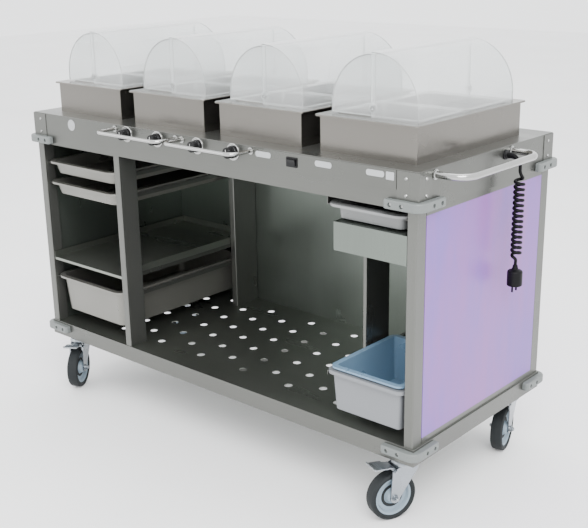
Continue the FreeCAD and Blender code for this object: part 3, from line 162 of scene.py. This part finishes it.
# the tail's points from the gland's mouth: how far out, and how far down
TAIL_POINTS = [(0.0, 0.0), (0.0106, 0.0), (0.0204, -0.0041), (0.0279, -0.0116),
               (0.0319, -0.0214), (0.0319, -0.032)]
COIL_SHARES = (0.25, 0.5, 0.75, 1.0)
# the turns that the coil would have without its lead-in and lead-out
COIL_TURNS = 18
POINTS_PER_TURN = 14
LEAD_LENGTH = 0.030
# the gap between the winding and the outside of the coil's solid
SKIN = 0.0003
LINE_STEPS = 8
TUBE_ROUNDNESS = 4

SLEEVE_LENGTH = 0.024
SLEEVE_SIDES = 24
SLEEVE_WALL = 0.0004
SLEEVE_FLARE = 0.0032
SLEEVE_RIDGE = 0.0004


def cord_route():
    """The tail's points as the part has them, then the middle line of the coiled stretch."""
    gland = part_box("cable_gland")[1].x
    y, z = middle("cable_gland").y, middle("cable_gland").z
    points = [Vector((gland + out, y, z + drop)) for out, drop in TAIL_POINTS]
    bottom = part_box("cord_coil")[0].z
    top = points[-1].copy()
    for share in COIL_SHARES:
        points.append(Vector((top.x, top.y, top.z + share * (bottom - top.z))))
    return points


def nurbs(name, points, thickness=0.0):
    data = bpy.data.curves.new(name, "CURVE")
    data.dimensions = "3D"
    spline = data.splines.new("NURBS")
    spline.points.add(len(points) - 1)
    for control, point in zip(spline.points, points):
        control.co = (*point, 1)
    spline.order_u = 3
    spline.use_endpoint_u = True
    spline.resolution_u = LINE_STEPS
    data.bevel_depth = thickness
    data.bevel_resolution = TUBE_ROUNDNESS
    data.use_fill_caps = True
    return link(bpy.data.objects.new(name, data))


def points_along(curve):
    """The points of a curve's smooth line."""
    bpy.context.view_layer.update()
    data = bpy.data.meshes.new_from_object(curve.evaluated_get(bpy.context.evaluated_depsgraph_get()))
    points = [v.co.copy() for v in data.vertices]
    bpy.data.meshes.remove(data)
    return points


def curled(line):
    """The cord's own line: the smooth tail, a lead-in, the helix, and a lead-out to the plug."""
    coil_low, coil_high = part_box("cord_coil")
    radius = (coil_high.x - coil_low.x) / 2 - CORD_DIAMETER / 2 - SKIN
    tail = [p for p in line if p.z > coil_high.z + 2 * SKIN]
    axis = middle("cord_coil")
    length = coil_high.z - coil_low.z - 2 * SKIN
    steps = COIL_TURNS * POINTS_PER_TURN
    points, angle = list(tail), 0.0
    for i in range(steps + 1):
        share = i / steps
        lead = min(1.0, share * length / LEAD_LENGTH, (1 - share) * length / LEAD_LENGTH)
        swing = lead * lead * (3 - 2 * lead)
        # the cord turns only once it is well out from the middle, which eases its bends there
        angle += swing ** 3 * 2 * math.pi / POINTS_PER_TURN
        points.append(Vector((axis.x + radius * swing * math.cos(angle),
                              axis.y + radius * swing * math.sin(angle),
                              coil_high.z - SKIN - length * share)))
    return points


def tube_from(curve, name):
    """The curve's tube as a mesh object of its own."""
    bpy.context.view_layer.update()
    data = bpy.data.meshes.new_from_object(curve.evaluated_get(bpy.context.evaluated_depsgraph_get()))
    data.name = name
    bpy.data.objects.remove(curve)
    return link(bpy.data.objects.new(name, data))


def make_strain_relief(line):
    """A tapered rubber sleeve on the cord where it leaves its gland."""
    rings, travelled = [], 0.0
    for here, there in zip(line, line[1:]):
        if travelled > SLEEVE_LENGTH:
            break
        along = (there - here).normalized()
        across = Vector((0, 1, 0))
        share = travelled / SLEEVE_LENGTH
        ridge = SLEEVE_RIDGE if len(rings) % 2 else 0.0
        radius = CORD_DIAMETER / 2 + SLEEVE_FLARE * (1 - share) + SLEEVE_WALL + ridge
        side = across.cross(along).normalized()
        rings.append([here + radius * (math.cos(a) * across + math.sin(a) * side)
                      for a in (2 * math.pi * k / SLEEVE_SIDES for k in range(SLEEVE_SIDES))])
        travelled += (there - here).length
    verts = [v for ring in rings for v in ring]
    n = SLEEVE_SIDES
    faces = [tuple(range(n))[::-1], tuple(range(len(verts) - n, len(verts)))]
    for r in range(len(rings) - 1):
        for k in range(n):
            nxt = (k + 1) % n
            faces.append((r * n + k, r * n + nxt, (r + 1) * n + nxt, (r + 1) * n + k))
    sleeve = mesh_object("strain_relief", verts, faces)
    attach(sleeve, "chassis")
    return sleeve


def make_cord():
    route = nurbs("cord_route", cord_route())
    line = points_along(route)
    bpy.data.objects.remove(route)
    winding = curled(line)
    centre = nurbs("cord_centre", winding)
    path = points_along(centre)
    bpy.data.objects.remove(centre)
    cord = tube_from(nurbs("cord_shape", winding, CORD_DIAMETER / 2), "mains_cord")
    sleeve = make_strain_relief(path)
    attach(cord, "chassis")
    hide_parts("cord_tail", "cord_coil")
    return cord, sleeve


make_camera()
mains_cord, strain_relief = make_cord()


# ---------------------------------------------------------------- materials

class Nodes:
    """Builds one procedural material on a Principled shader."""

    def __init__(self, name, colour, metallic=0.0, roughness=0.5):
        self.material = bpy.data.materials.new(name)
        self.material.use_nodes = True
        self.tree = self.material.node_tree
        self.shader = self.tree.nodes["Principled BSDF"]
        self.shader.inputs["Metallic"].default_value = metallic
        self.shader.inputs["Roughness"].default_value = roughness
        self.shader.inputs["Base Color"].default_value = (*colour, 1)
        self.colour = colour
        self.place = self.add("ShaderNodeTexCoord").outputs["Object"]
        self.height = None

    def add(self, kind, **inputs):
        node = self.tree.nodes.new(kind)
        for socket, value in inputs.items():
            self.put(node.inputs[socket.replace("_", " ")], value)
        return node

    def put(self, socket, value):
        if isinstance(value, bpy.types.NodeSocket):
            self.tree.links.new(value, socket)
        else:
            socket.default_value = value

    def noise(self, scale, stretch=(1, 1, 1), detail=3.0, rough=0.5):
        mapping = self.add("ShaderNodeMapping", Vector=self.place, Scale=stretch)
        texture = self.add("ShaderNodeTexNoise", Vector=mapping.outputs["Vector"], Scale=scale,
                           Detail=detail, Roughness=rough)
        return texture.outputs["Fac"]

    def cells(self, scale, stretch=(1, 1, 1)):
        mapping = self.add("ShaderNodeMapping", Vector=self.place, Scale=stretch)
        texture = self.add("ShaderNodeTexVoronoi", Vector=mapping.outputs["Vector"], Scale=scale)
        return texture.outputs["Distance"]

    def spread(self, value, low, high, start=0.3, end=0.7):
        node = self.add("ShaderNodeMapRange", Value=value, From_Min=start, From_Max=end,
                        To_Min=low, To_Max=high)
        return node.outputs["Result"]

    def mix(self, factor, a, b):
        node = self.tree.nodes.new("ShaderNodeMix")
        node.data_type = "RGBA"
        self.put(node.inputs["Factor"], factor)
        colours = [s for s in node.inputs if s.type == "RGBA"]
        for socket, value in zip(colours, (a, b)):
            self.put(socket, value if isinstance(value, bpy.types.NodeSocket) else (*value, 1))
        return next(s for s in node.outputs if s.type == "RGBA")

    def tint(self, factor, other):
        """Varies the colour towards another one."""
        colour = self.mix(factor, self.colour, other)
        self.put(self.shader.inputs["Base Color"], colour)
        self.colour = colour
        return self

    def wear(self, value):
        self.put(self.shader.inputs["Roughness"], value)
        return self

    def bump(self, height, distance, strength=1.0):
        node = self.add("ShaderNodeBump", Height=height, Distance=distance, Strength=strength)
        if self.height is not None:
            self.put(node.inputs["Normal"], self.height)
        self.height = node.outputs["Normal"]
        self.put(self.shader.inputs["Normal"], self.height)
        return self

    def set(self, **values):
        for socket, value in values.items():
            self.put(self.shader.inputs[socket.replace("_", " ")], value)
        return self


def scaled(colour, factor):
    return tuple(min(1.0, c * factor) for c in colour)


STEEL = (0.125, 0.127, 0.118)
GRAIN = {"x": (1, 60, 60), "y": (60, 1, 60), "z": (60, 60, 1)}


def steel(name, grain, colour=STEEL, roughness=0.30, metallic=0.85):
    """Brushed stainless sheet: fine grain along one axis, faint clouding and smears."""
    m = Nodes(name, colour, metallic=metallic, roughness=roughness)
    lines = m.noise(14, GRAIN[grain], detail=4)
    clouds = m.noise(2.6, detail=2)
    smears = m.noise(9, tuple(0.35 if s == 1 else 1.0 for s in GRAIN[grain]), detail=3)
    m.tint(m.spread(lines, 0, 0.5), scaled(colour, 0.86))
    m.tint(m.spread(clouds, 0, 0.45), scaled(colour, 1.12))
    rough = m.spread(smears, roughness - 0.05, roughness + 0.09)
    m.wear(rough)
    m.bump(lines, 0.00012, 0.5)
    m.bump(clouds, 0.0016, 0.25)
    return m.material


def satin_metal(name, colour, roughness=0.22, scale=260.0):
    """Plated or polished metal with fine pitting."""
    m = Nodes(name, colour, metallic=1.0, roughness=roughness)
    pits = m.noise(scale, detail=4)
    clouds = m.noise(22, detail=3)
    m.tint(m.spread(clouds, 0, 0.6), scaled(colour, 0.82))
    m.wear(m.spread(clouds, roughness - 0.05, roughness + 0.12))
    m.bump(pits, 0.0002, 0.4)
    return m.material


def plastic(name, colour, roughness=0.38, grain=420.0, depth=0.00012, fleck=0.9, shine=0.5):
    """Moulded plastic: a fine skin grain, faint scuffs and slightly uneven colour."""
    m = Nodes(name, colour, roughness=roughness)
    skin = m.noise(grain, detail=2)
    scuffs = m.noise(34, (1, 1, 4), detail=6, rough=0.7)
    clouds = m.noise(5, detail=2)
    m.tint(m.spread(clouds, 0, 0.6), scaled(colour, fleck))
    m.tint(m.spread(scuffs, 0, 0.35, 0.55, 0.8), scaled(colour, 1.15))
    m.wear(m.spread(scuffs, roughness - 0.06, roughness + 0.14))
    m.bump(skin, depth, 0.5)
    m.set(Specular_IOR_Level=shine)
    return m.material


def decor():
    """Lilac coated sheet with soft pink and blue drifts running down it."""
    base = (0.17, 0.078, 0.36)
    m = Nodes("decor_panel", base, roughness=0.34)
    drift = m.noise(1.9, (1.4, 1.4, 0.5), detail=3, rough=0.55)
    veins = m.noise(6.5, (1.5, 1.5, 0.35), detail=5, rough=0.65)
    skin = m.noise(700, detail=1)
    m.tint(m.spread(drift, 0, 1, 0.36, 0.62), (0.225, 0.083, 0.33))
    m.tint(m.spread(veins, 0, 0.55, 0.45, 0.7), (0.135, 0.095, 0.41))
    m.wear(m.spread(veins, 0.30, 0.42))
    m.bump(skin, 0.00005, 0.4)
    m.set(Coat_Weight=0.06, Coat_Roughness=0.2)
    return m.material


def clear():
    """Clear acrylic with a very faint haze and fine wipe marks."""
    m = Nodes("clear_plastic", (0.97, 0.985, 0.985), roughness=0.02)
    wipes = m.noise(30, (1, 6, 6), detail=5, rough=0.7)
    haze = m.noise(7, detail=3)
    m.tint(m.spread(haze, 0, 1), (0.93, 0.955, 0.955))
    m.wear(m.spread(wipes, 0.02, 0.07, 0.45, 0.75))
    m.bump(haze, 0.0006, 0.15)
    m.set(Transmission_Weight=0.8, IOR=1.4)
    return m.material


def translucent(name, colour, weight):
    m = Nodes(name, colour, roughness=0.28)
    clouds = m.noise(9, detail=3)
    skin = m.noise(500, detail=2)
    m.tint(m.spread(clouds, 0, 0.6), scaled(colour, 0.86))
    m.wear(m.spread(clouds, 0.22, 0.36))
    m.bump(skin, 0.0001, 0.4)
    m.set(Transmission_Weight=weight, IOR=1.5)
    return m.material


def rubber(name, colour, roughness=0.62, scale=300.0, shine=0.2):
    """Matt rubber with a dusty bloom and tiny nicks."""
    m = Nodes(name, colour, roughness=roughness)
    dust = m.noise(26, detail=6, rough=0.7)
    nicks = m.cells(scale)
    m.tint(m.spread(dust, 0, 0.55, 0.42, 0.75), scaled(colour, 1.9))
    m.wear(m.spread(dust, roughness - 0.08, roughness + 0.14))
    m.bump(nicks, 0.00015, 0.35)
    m.set(Specular_IOR_Level=shine)
    return m.material


STEEL_X = steel("stainless_x", "x")
STEEL_Y = steel("stainless_y", "y")
STEEL_Z = steel("stainless_z", "z", metallic=0.78)
# painted shade: the inner panels and junction box get a dim greenish steel colour that stands in for
# the shade inside the bays and on the divider's shadowed side
SHADED_INNER_STEEL = steel("stainless_inner_painted_shade", "z", colour=(0.150, 0.170, 0.152), roughness=0.30, metallic=0.9)
STEEL_SHELF = steel("stainless_shelf", "x", colour=(0.210, 0.222, 0.198), roughness=0.30, metallic=0.9)
STEEL_SERVER = steel("stainless_server", "x", colour=(0.175, 0.165, 0.15), roughness=0.2, metallic=0.95)
STEEL_PAN = steel("stainless_pan", "y", colour=(0.30, 0.30, 0.29), roughness=0.16, metallic=0.95)
POLISHED = satin_metal("polished_steel", (0.40, 0.40, 0.39), roughness=0.13)
ZINC = satin_metal("zinc", (0.33, 0.355, 0.38), roughness=0.26, scale=180)
DECOR = decor()
BUMPER = plastic("bumper_plastic", (0.135, 0.148, 0.144), roughness=0.42, depth=0.0002)
PAN = steel("stainless_bay_pan", "y", colour=(0.19, 0.187, 0.17), roughness=0.3, metallic=0.7)
TRAY = plastic("tray_plastic", (0.19, 0.195, 0.195), roughness=0.3)
BIN = plastic("bin_plastic", (0.175, 0.183, 0.195), roughness=0.34)
LINER = translucent("liner_plastic", (0.20, 0.33, 0.47), 0.25)
CLEAR = clear()
BLACK = plastic("black_plastic", (0.004, 0.004, 0.0045), roughness=0.33, depth=0.0001, shine=0.25)
WHITE = plastic("white_plate", (0.36, 0.37, 0.375), roughness=0.3)
HUB = plastic("hub_plastic", (0.20, 0.26, 0.31), roughness=0.45)
TYRE = rubber("tyre_rubber", (0.012, 0.014, 0.015))
CORD = rubber("cord_rubber", (0.003, 0.003, 0.0035), roughness=0.42, scale=900, shine=0.12)
HEATER = satin_metal("heater_plate", (0.5, 0.5, 0.5), roughness=0.45, scale=120)


def paint(obj, material):
    obj.data.materials.clear()
    obj.data.materials.append(material)
    return obj


def paint_nodes():
    looks = {
        "worktop": STEEL_X, "aprons": STEEL_X, "corner_blocks": STEEL_Z, "frame_posts": STEEL_Z,
        "deck_skirt": STEEL_X, "deck_floor": STEEL_SHELF, "deck_channels": STEEL_Y,
        "bay_uprights": STEEL_Z, "decor_panels": DECOR, "inner_panels": SHADED_INNER_STEEL,
        "mid_shelf": STEEL_SHELF, "runner_rails": STEEL_Y, "junction_box": SHADED_INNER_STEEL,
        "server_housings": STEEL_SERVER, "server_pans": STEEL_PAN, "heater_plates": HEATER,
        "control_panel": STEEL_X, "knob_guards": POLISHED, "push_handle": POLISHED,
        "knob_bezels": POLISHED, "frame_screws": POLISHED, "corner_bumpers": BUMPER,
        "pan_upper": PAN, "pan_middle": PAN, "deep_bin": PAN, "side_tray": TRAY,
        "waste_bin": BIN, "waste_bin_liner": LINER, "dome_fixed_halves": CLEAR,
        "switch_bezel": BLACK, "rocker_switch": BLACK, "thermostats": BLACK,
        "label_plates": WHITE, "caster_plates": ZINC, "cable_gland": BLACK, "plug": CORD,
        "cord_tail": CORD, "cord_coil": CORD,
    }
    prefixes = {"dome_cover": CLEAR, "knob_": BLACK, "caster_fork": ZINC, "caster_hub": HUB,
                "caster_tyre": TYRE, "brake_pedal": ZINC}
    for name, node in frame["nodes"].items():
        look = looks.get(name) or next(m for p, m in prefixes.items() if name.startswith(p))
        paint(node, look)


paint_nodes()
paint(mains_cord, CORD)
paint(strain_relief, CORD)


# ---------------------------------------------------------------- trim pieces

PRINT = plastic("black_print", (0.02, 0.02, 0.022), roughness=0.5, depth=0.00003)
PAINT_WHITE = plastic("white_print", (0.82, 0.82, 0.80), roughness=0.45, depth=0.00003)
GASKET = rubber("race_seal", (0.03, 0.03, 0.032), roughness=0.5, scale=600)
WHEELS = ("front_left", "front_right", "rear_left", "rear_right")
KNOBS = range(1, 5)


def piece(name, shapes, body, material):
    obj = paint(joined(name, shapes), material)
    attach(obj, body)
    return obj


def bar_on(normal, centre, width, height, thickness, spin=0.0):
    """A small bar lying on a face, its long side turned by spin about the face's normal."""
    place = framing(normal, centre) @ Matrix.Rotation(spin, 4, "Z")
    return moved(prism(round_box(width, height, min(width, height) * 0.3, 2), thickness), place)


KNOB_SWEEP = 270
TICK_COUNT, LONG_TICK_EVERY = 11, 5
TICK_RING = 0.0186
LONG_TICK, SHORT_TICK = 0.0034, 0.0022
TICK_WIDTH, TICK_THICKNESS, TICK_PROUD = 0.0007, 0.00015, 0.00002
POINTER_LENGTH, POINTER_WIDTH, POINTER_THICKNESS = 0.0075, 0.0011, 0.00018
POINTER_RISE = 0.0058


def make_knob_marks():
    """A ring of scale ticks on each bezel, and a pointer line on each knob's ridge."""
    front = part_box("knob_bezels")[0].y
    outward = Vector((0, -1, 0))
    for number in KNOBS:
        centre = middle(f"knob_{number}")
        ticks = []
        for k in range(TICK_COUNT):
            angle = math.radians(k * KNOB_SWEEP / (TICK_COUNT - 1) - KNOB_SWEEP / 2)
            spot = Vector((centre.x + TICK_RING * math.sin(angle), front - TICK_PROUD,
                           centre.z + TICK_RING * math.cos(angle)))
            size = LONG_TICK if k % LONG_TICK_EVERY == 0 else SHORT_TICK
            spin = math.atan2(math.cos(angle), math.sin(angle))
            ticks.append(bar_on(outward, spot, size, TICK_WIDTH, TICK_THICKNESS,
                                spin_on_front(spin)))
        piece(f"scale_ticks_{number}", ticks, "chassis", PRINT)
        spot = Vector((centre.x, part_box(f"knob_{number}")[0].y, centre.z + POINTER_RISE))
        line = bar_on(outward, spot, POINTER_LENGTH, POINTER_WIDTH, POINTER_THICKNESS,
                      spin_on_front(math.pi / 2))
        piece(f"pointer_{number}", [line], f"dial_{number}", PAINT_WHITE)


def spin_on_front(angle):
    """The turn about a front face's normal that points a bar along angle in the XZ plane."""
    turn = framing((0, -1, 0), (0, 0, 0)).to_3x3()
    wanted = Vector((math.cos(angle), 0, math.sin(angle)))
    local = turn.transposed() @ wanted
    return math.atan2(local.y, local.x)


HANDLE_FOOT = 0.012


def make_handle_welds():
    """A small weld bead round each foot of the handle."""
    low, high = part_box("push_handle")
    beads = []
    bead = turned([(0.0082, 0.003), (0.0096, 0.0034), (0.0100, 0.0046), (0.0082, 0.0056)], 28)
    for y in (low.y + HANDLE_FOOT, high.y - HANDLE_FOOT):
        spot = Vector((low.x, y, (low.z + high.z) / 2))
        beads.append(moved(bead, framing((1, 0, 0), spot)))
    piece("handle_welds", beads, "chassis", POLISHED)


RIVET_COUNT = 9
RIVET_INSET_SIDE, RIVET_INSET_END = 0.045, 0.012
RIVET_SINK = 0.0001


def make_panel_rivets():
    """Pop rivets along the rear decor panel's edges."""
    low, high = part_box("decor_panels")
    head = turned([(0.0, 0.0011), (0.0016, 0.0009), (0.0027, 0.0)], 16)
    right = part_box("aprons")[1].x - RIVET_INSET_SIDE
    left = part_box("aprons")[0].x + RIVET_INSET_SIDE
    shapes = []
    for k in range(RIVET_COUNT):
        x = left + (right - left) * k / (RIVET_COUNT - 1)
        for z in (low.z + RIVET_INSET_END, high.z - RIVET_INSET_END):
            shapes.append(moved(head, framing((0, 1, 0), Vector((x, high.y - RIVET_SINK, z)))))
    piece("rear_rivets", shapes, "chassis", POLISHED)


GRIP_SHARES = (0.50, 0.58, 0.66)
GRIP_HALF_WIDTH, GRIP_SINK, GRIP_CREST = 0.0011, 0.0008, 0.0001


def make_plug_grips():
    """Raised grip rings round the plug's body."""
    low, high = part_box("plug")
    centre = middle("plug")
    radius = (high.x - low.x) / 2
    rings = []
    profile = [(radius - GRIP_SINK, -GRIP_HALF_WIDTH), (radius - GRIP_CREST, 0.0),
               (radius - GRIP_SINK, GRIP_HALF_WIDTH)]
    for share in GRIP_SHARES:
        z = low.z + share * (high.z - low.z)
        spot = Vector((centre.x, centre.y, z))
        rings.append(moved(turned(profile, 40), framing((0, 0, 1), spot)))
    piece("plug_grips", rings, "chassis", CORD)


PEDAL_RIBS = (0.038, 0.044, 0.050)
PEDAL_TOP = 0.0162
PEDAL_RIB_WIDTH, PEDAL_RIB_LENGTH, PEDAL_RIB_ROUND, PEDAL_RIB_HEIGHT = 0.0013, 0.034, 0.0006, 0.0010


def joint_named(name):
    return next(j for j in frame["joints"] if j["name"] == name)


def make_pedal_grips():
    """Pressed ribs across the top of each brake pedal."""
    for name in ("front_left", "front_right"):
        joint = joint_named(f"brake_{name}_press")
        across = Vector(joint["axis"]).normalized()
        along = across.cross(Vector((0, 0, 1)))
        start = Vector(joint["pos_m"])
        ribs = []
        for reach in PEDAL_RIBS:
            spot = start + along * reach + Vector((0, 0, PEDAL_TOP))
            outline = round_box(PEDAL_RIB_WIDTH, PEDAL_RIB_LENGTH, PEDAL_RIB_ROUND, 3)
            turn = Matrix((along, across, Vector((0, 0, 1)))).transposed().to_4x4()
            ribs.append(moved(prism(outline, PEDAL_RIB_HEIGHT), Matrix.Translation(spot) @ turn))
        piece(f"pedal_grips_{name}", ribs, f"brake_{name}", ZINC)


BOLT_RADIUS, BOLT_HEIGHT = 0.0065, 0.0048
BOLT_ACROSS, BOLT_ALONG = 0.040, 0.032
PLATE_THICKNESS = 0.004
SEAL_DROP = 0.0118
NUT_SCALE, NUT_HEIGHT, NUT_OUT, NUT_DOME_OUT = 1.05, 0.0045, 0.0265, 0.004
HUB_RING_OUT, TYRE_RIB_OUT = 0.0048, 0.016
TYRE_RIB_RADII = (0.0535, 0.0562)
TYRE_RIB_HALF_WIDTH, TYRE_RIB_SINK, TYRE_RIB_PROUD = 0.0006, 0.0003, 0.0005

HEXAGON = [(BOLT_RADIUS * math.cos(k * math.pi / 3), BOLT_RADIUS * math.sin(k * math.pi / 3))
           for k in range(6)]
NUT_OUTLINE = [(NUT_SCALE * x, NUT_SCALE * y) for x, y in HEXAGON]
# (radius, z) outlines of the turned pieces
WASHER = [(0.0043, 0), (0.0082, 0), (0.0082, 0.0012), (0.0043, 0.0012)]
SEAL = [(0.0291, 0), (0.0306, 0.0006), (0.0306, 0.0022), (0.0291, 0.0028)]
NUT_DOME = [(0.0048, 0), (0.0046, 0.003), (0.003, 0.0042), (0.0005, 0.0046)]
HUB_RING = [(0.0225, 0), (0.0228, 0.0014), (0.0300, 0.0014), (0.0303, 0)]


def plate_trim(name):
    """Four hex bolts with washers under a caster's top plate, and its race's seal."""
    swivel = joint_named(f"swivel_{name}")
    pin = Vector((swivel["pos_m"][0], swivel["pos_m"][1], 0))
    plate_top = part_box("caster_plates")[1].z
    bolts = []
    for sx in (-1, 1):
        for sy in (-1, 1):
            spot = Vector((pin.x + sx * BOLT_ACROSS, pin.y + sy * BOLT_ALONG,
                           plate_top - PLATE_THICKNESS))
            downwards = framing((0, 0, -1), spot)
            bolts.append(moved(prism(HEXAGON, BOLT_HEIGHT), downwards))
            bolts.append(moved(turned(WASHER, 20), downwards))
    piece(f"plate_bolts_{name}", bolts, "chassis", ZINC)
    spot = Vector((pin.x, pin.y, plate_top - SEAL_DROP))
    piece(f"race_seal_{name}", [moved(turned(SEAL, 40), framing((0, 0, 1), spot))], "chassis",
          GASKET)


def wheel_trim(name):
    """The axle's nuts, and on both sides of the wheel a hub ring and two tyre ribs."""
    hub = middle(f"caster_hub_{name}")
    axis = Vector(joint_named(f"wheel_{name}_spin")["axis"]).normalized()
    nuts, rings, ribs = [], [], []
    for side in (-1, 1):
        outwards = side * axis
        face = hub + outwards * NUT_OUT
        nuts.append(moved(prism(NUT_OUTLINE, NUT_HEIGHT), framing(outwards, face)))
        nuts.append(moved(turned(NUT_DOME, 16), framing(outwards, face + outwards * NUT_DOME_OUT)))
        rings.append(moved(turned(HUB_RING, 40), framing(outwards, hub + outwards * HUB_RING_OUT)))
        for radius in TYRE_RIB_RADII:
            rib = [(radius - TYRE_RIB_HALF_WIDTH, -TYRE_RIB_SINK), (radius, TYRE_RIB_PROUD),
                   (radius + TYRE_RIB_HALF_WIDTH, -TYRE_RIB_SINK)]
            ribs.append(moved(turned(rib, 48), framing(outwards, hub + outwards * TYRE_RIB_OUT)))
    piece(f"axle_nuts_{name}", nuts, f"fork_{name}", ZINC)
    piece(f"hub_rings_{name}", rings, f"wheel_{name}", TYRE)
    piece(f"tyre_ribs_{name}", ribs, f"wheel_{name}", TYRE)


def make_caster_trim():
    for name in WHEELS:
        plate_trim(name)
        wheel_trim(name)


make_knob_marks()
make_handle_welds()
make_panel_rivets()
make_plug_grips()
make_pedal_grips()
make_caster_trim()


# ---------------------------------------------------------------- studio

def area_light(name, position, aim, size, power, colour=(1, 1, 1)):
    data = bpy.data.lights.new(name, "AREA")
    data.shape = "RECTANGLE"
    data.size, data.size_y = size
    data.energy = power
    data.color = colour
    light = link(bpy.data.objects.new(name, data))
    light.location = position
    light.rotation_euler = (Vector(aim) - Vector(position)).to_track_quat("-Z", "Y").to_euler()


def make_studio():
    floor = mesh_object("floor", [(-12, -12, 0), (12, -12, 0), (12, 12, 0), (-12, 12, 0)],
                        [(0, 1, 2, 3)], smooth=False)
    ground = Nodes("floor_paint", (0.93, 0.93, 0.93), roughness=0.7)
    ground.tint(ground.spread(ground.noise(1.5), 0, 1), (0.90, 0.90, 0.90))
    paint(floor, ground.material)
    world = bpy.data.worlds.new("Studio")
    bpy.context.scene.world = world
    world.use_nodes = True
    background = world.node_tree.nodes["Background"]
    background.inputs["Color"].default_value = (0.93, 0.94, 0.95, 1)
    background.inputs["Strength"].default_value = 2.6
    area_light("key", (2.6, -2.2, 3.4), (0, 0, 0.5), (2.4, 2.4), 200)
    area_light("fill", (-3.2, -2.6, 2.0), (0, 0, 0.6), (2.5, 2.0), 35)
    area_light("top", (0, 0.6, 3.6), (0, 0, 0.8), (3.0, 1.6), 45)


make_studio()
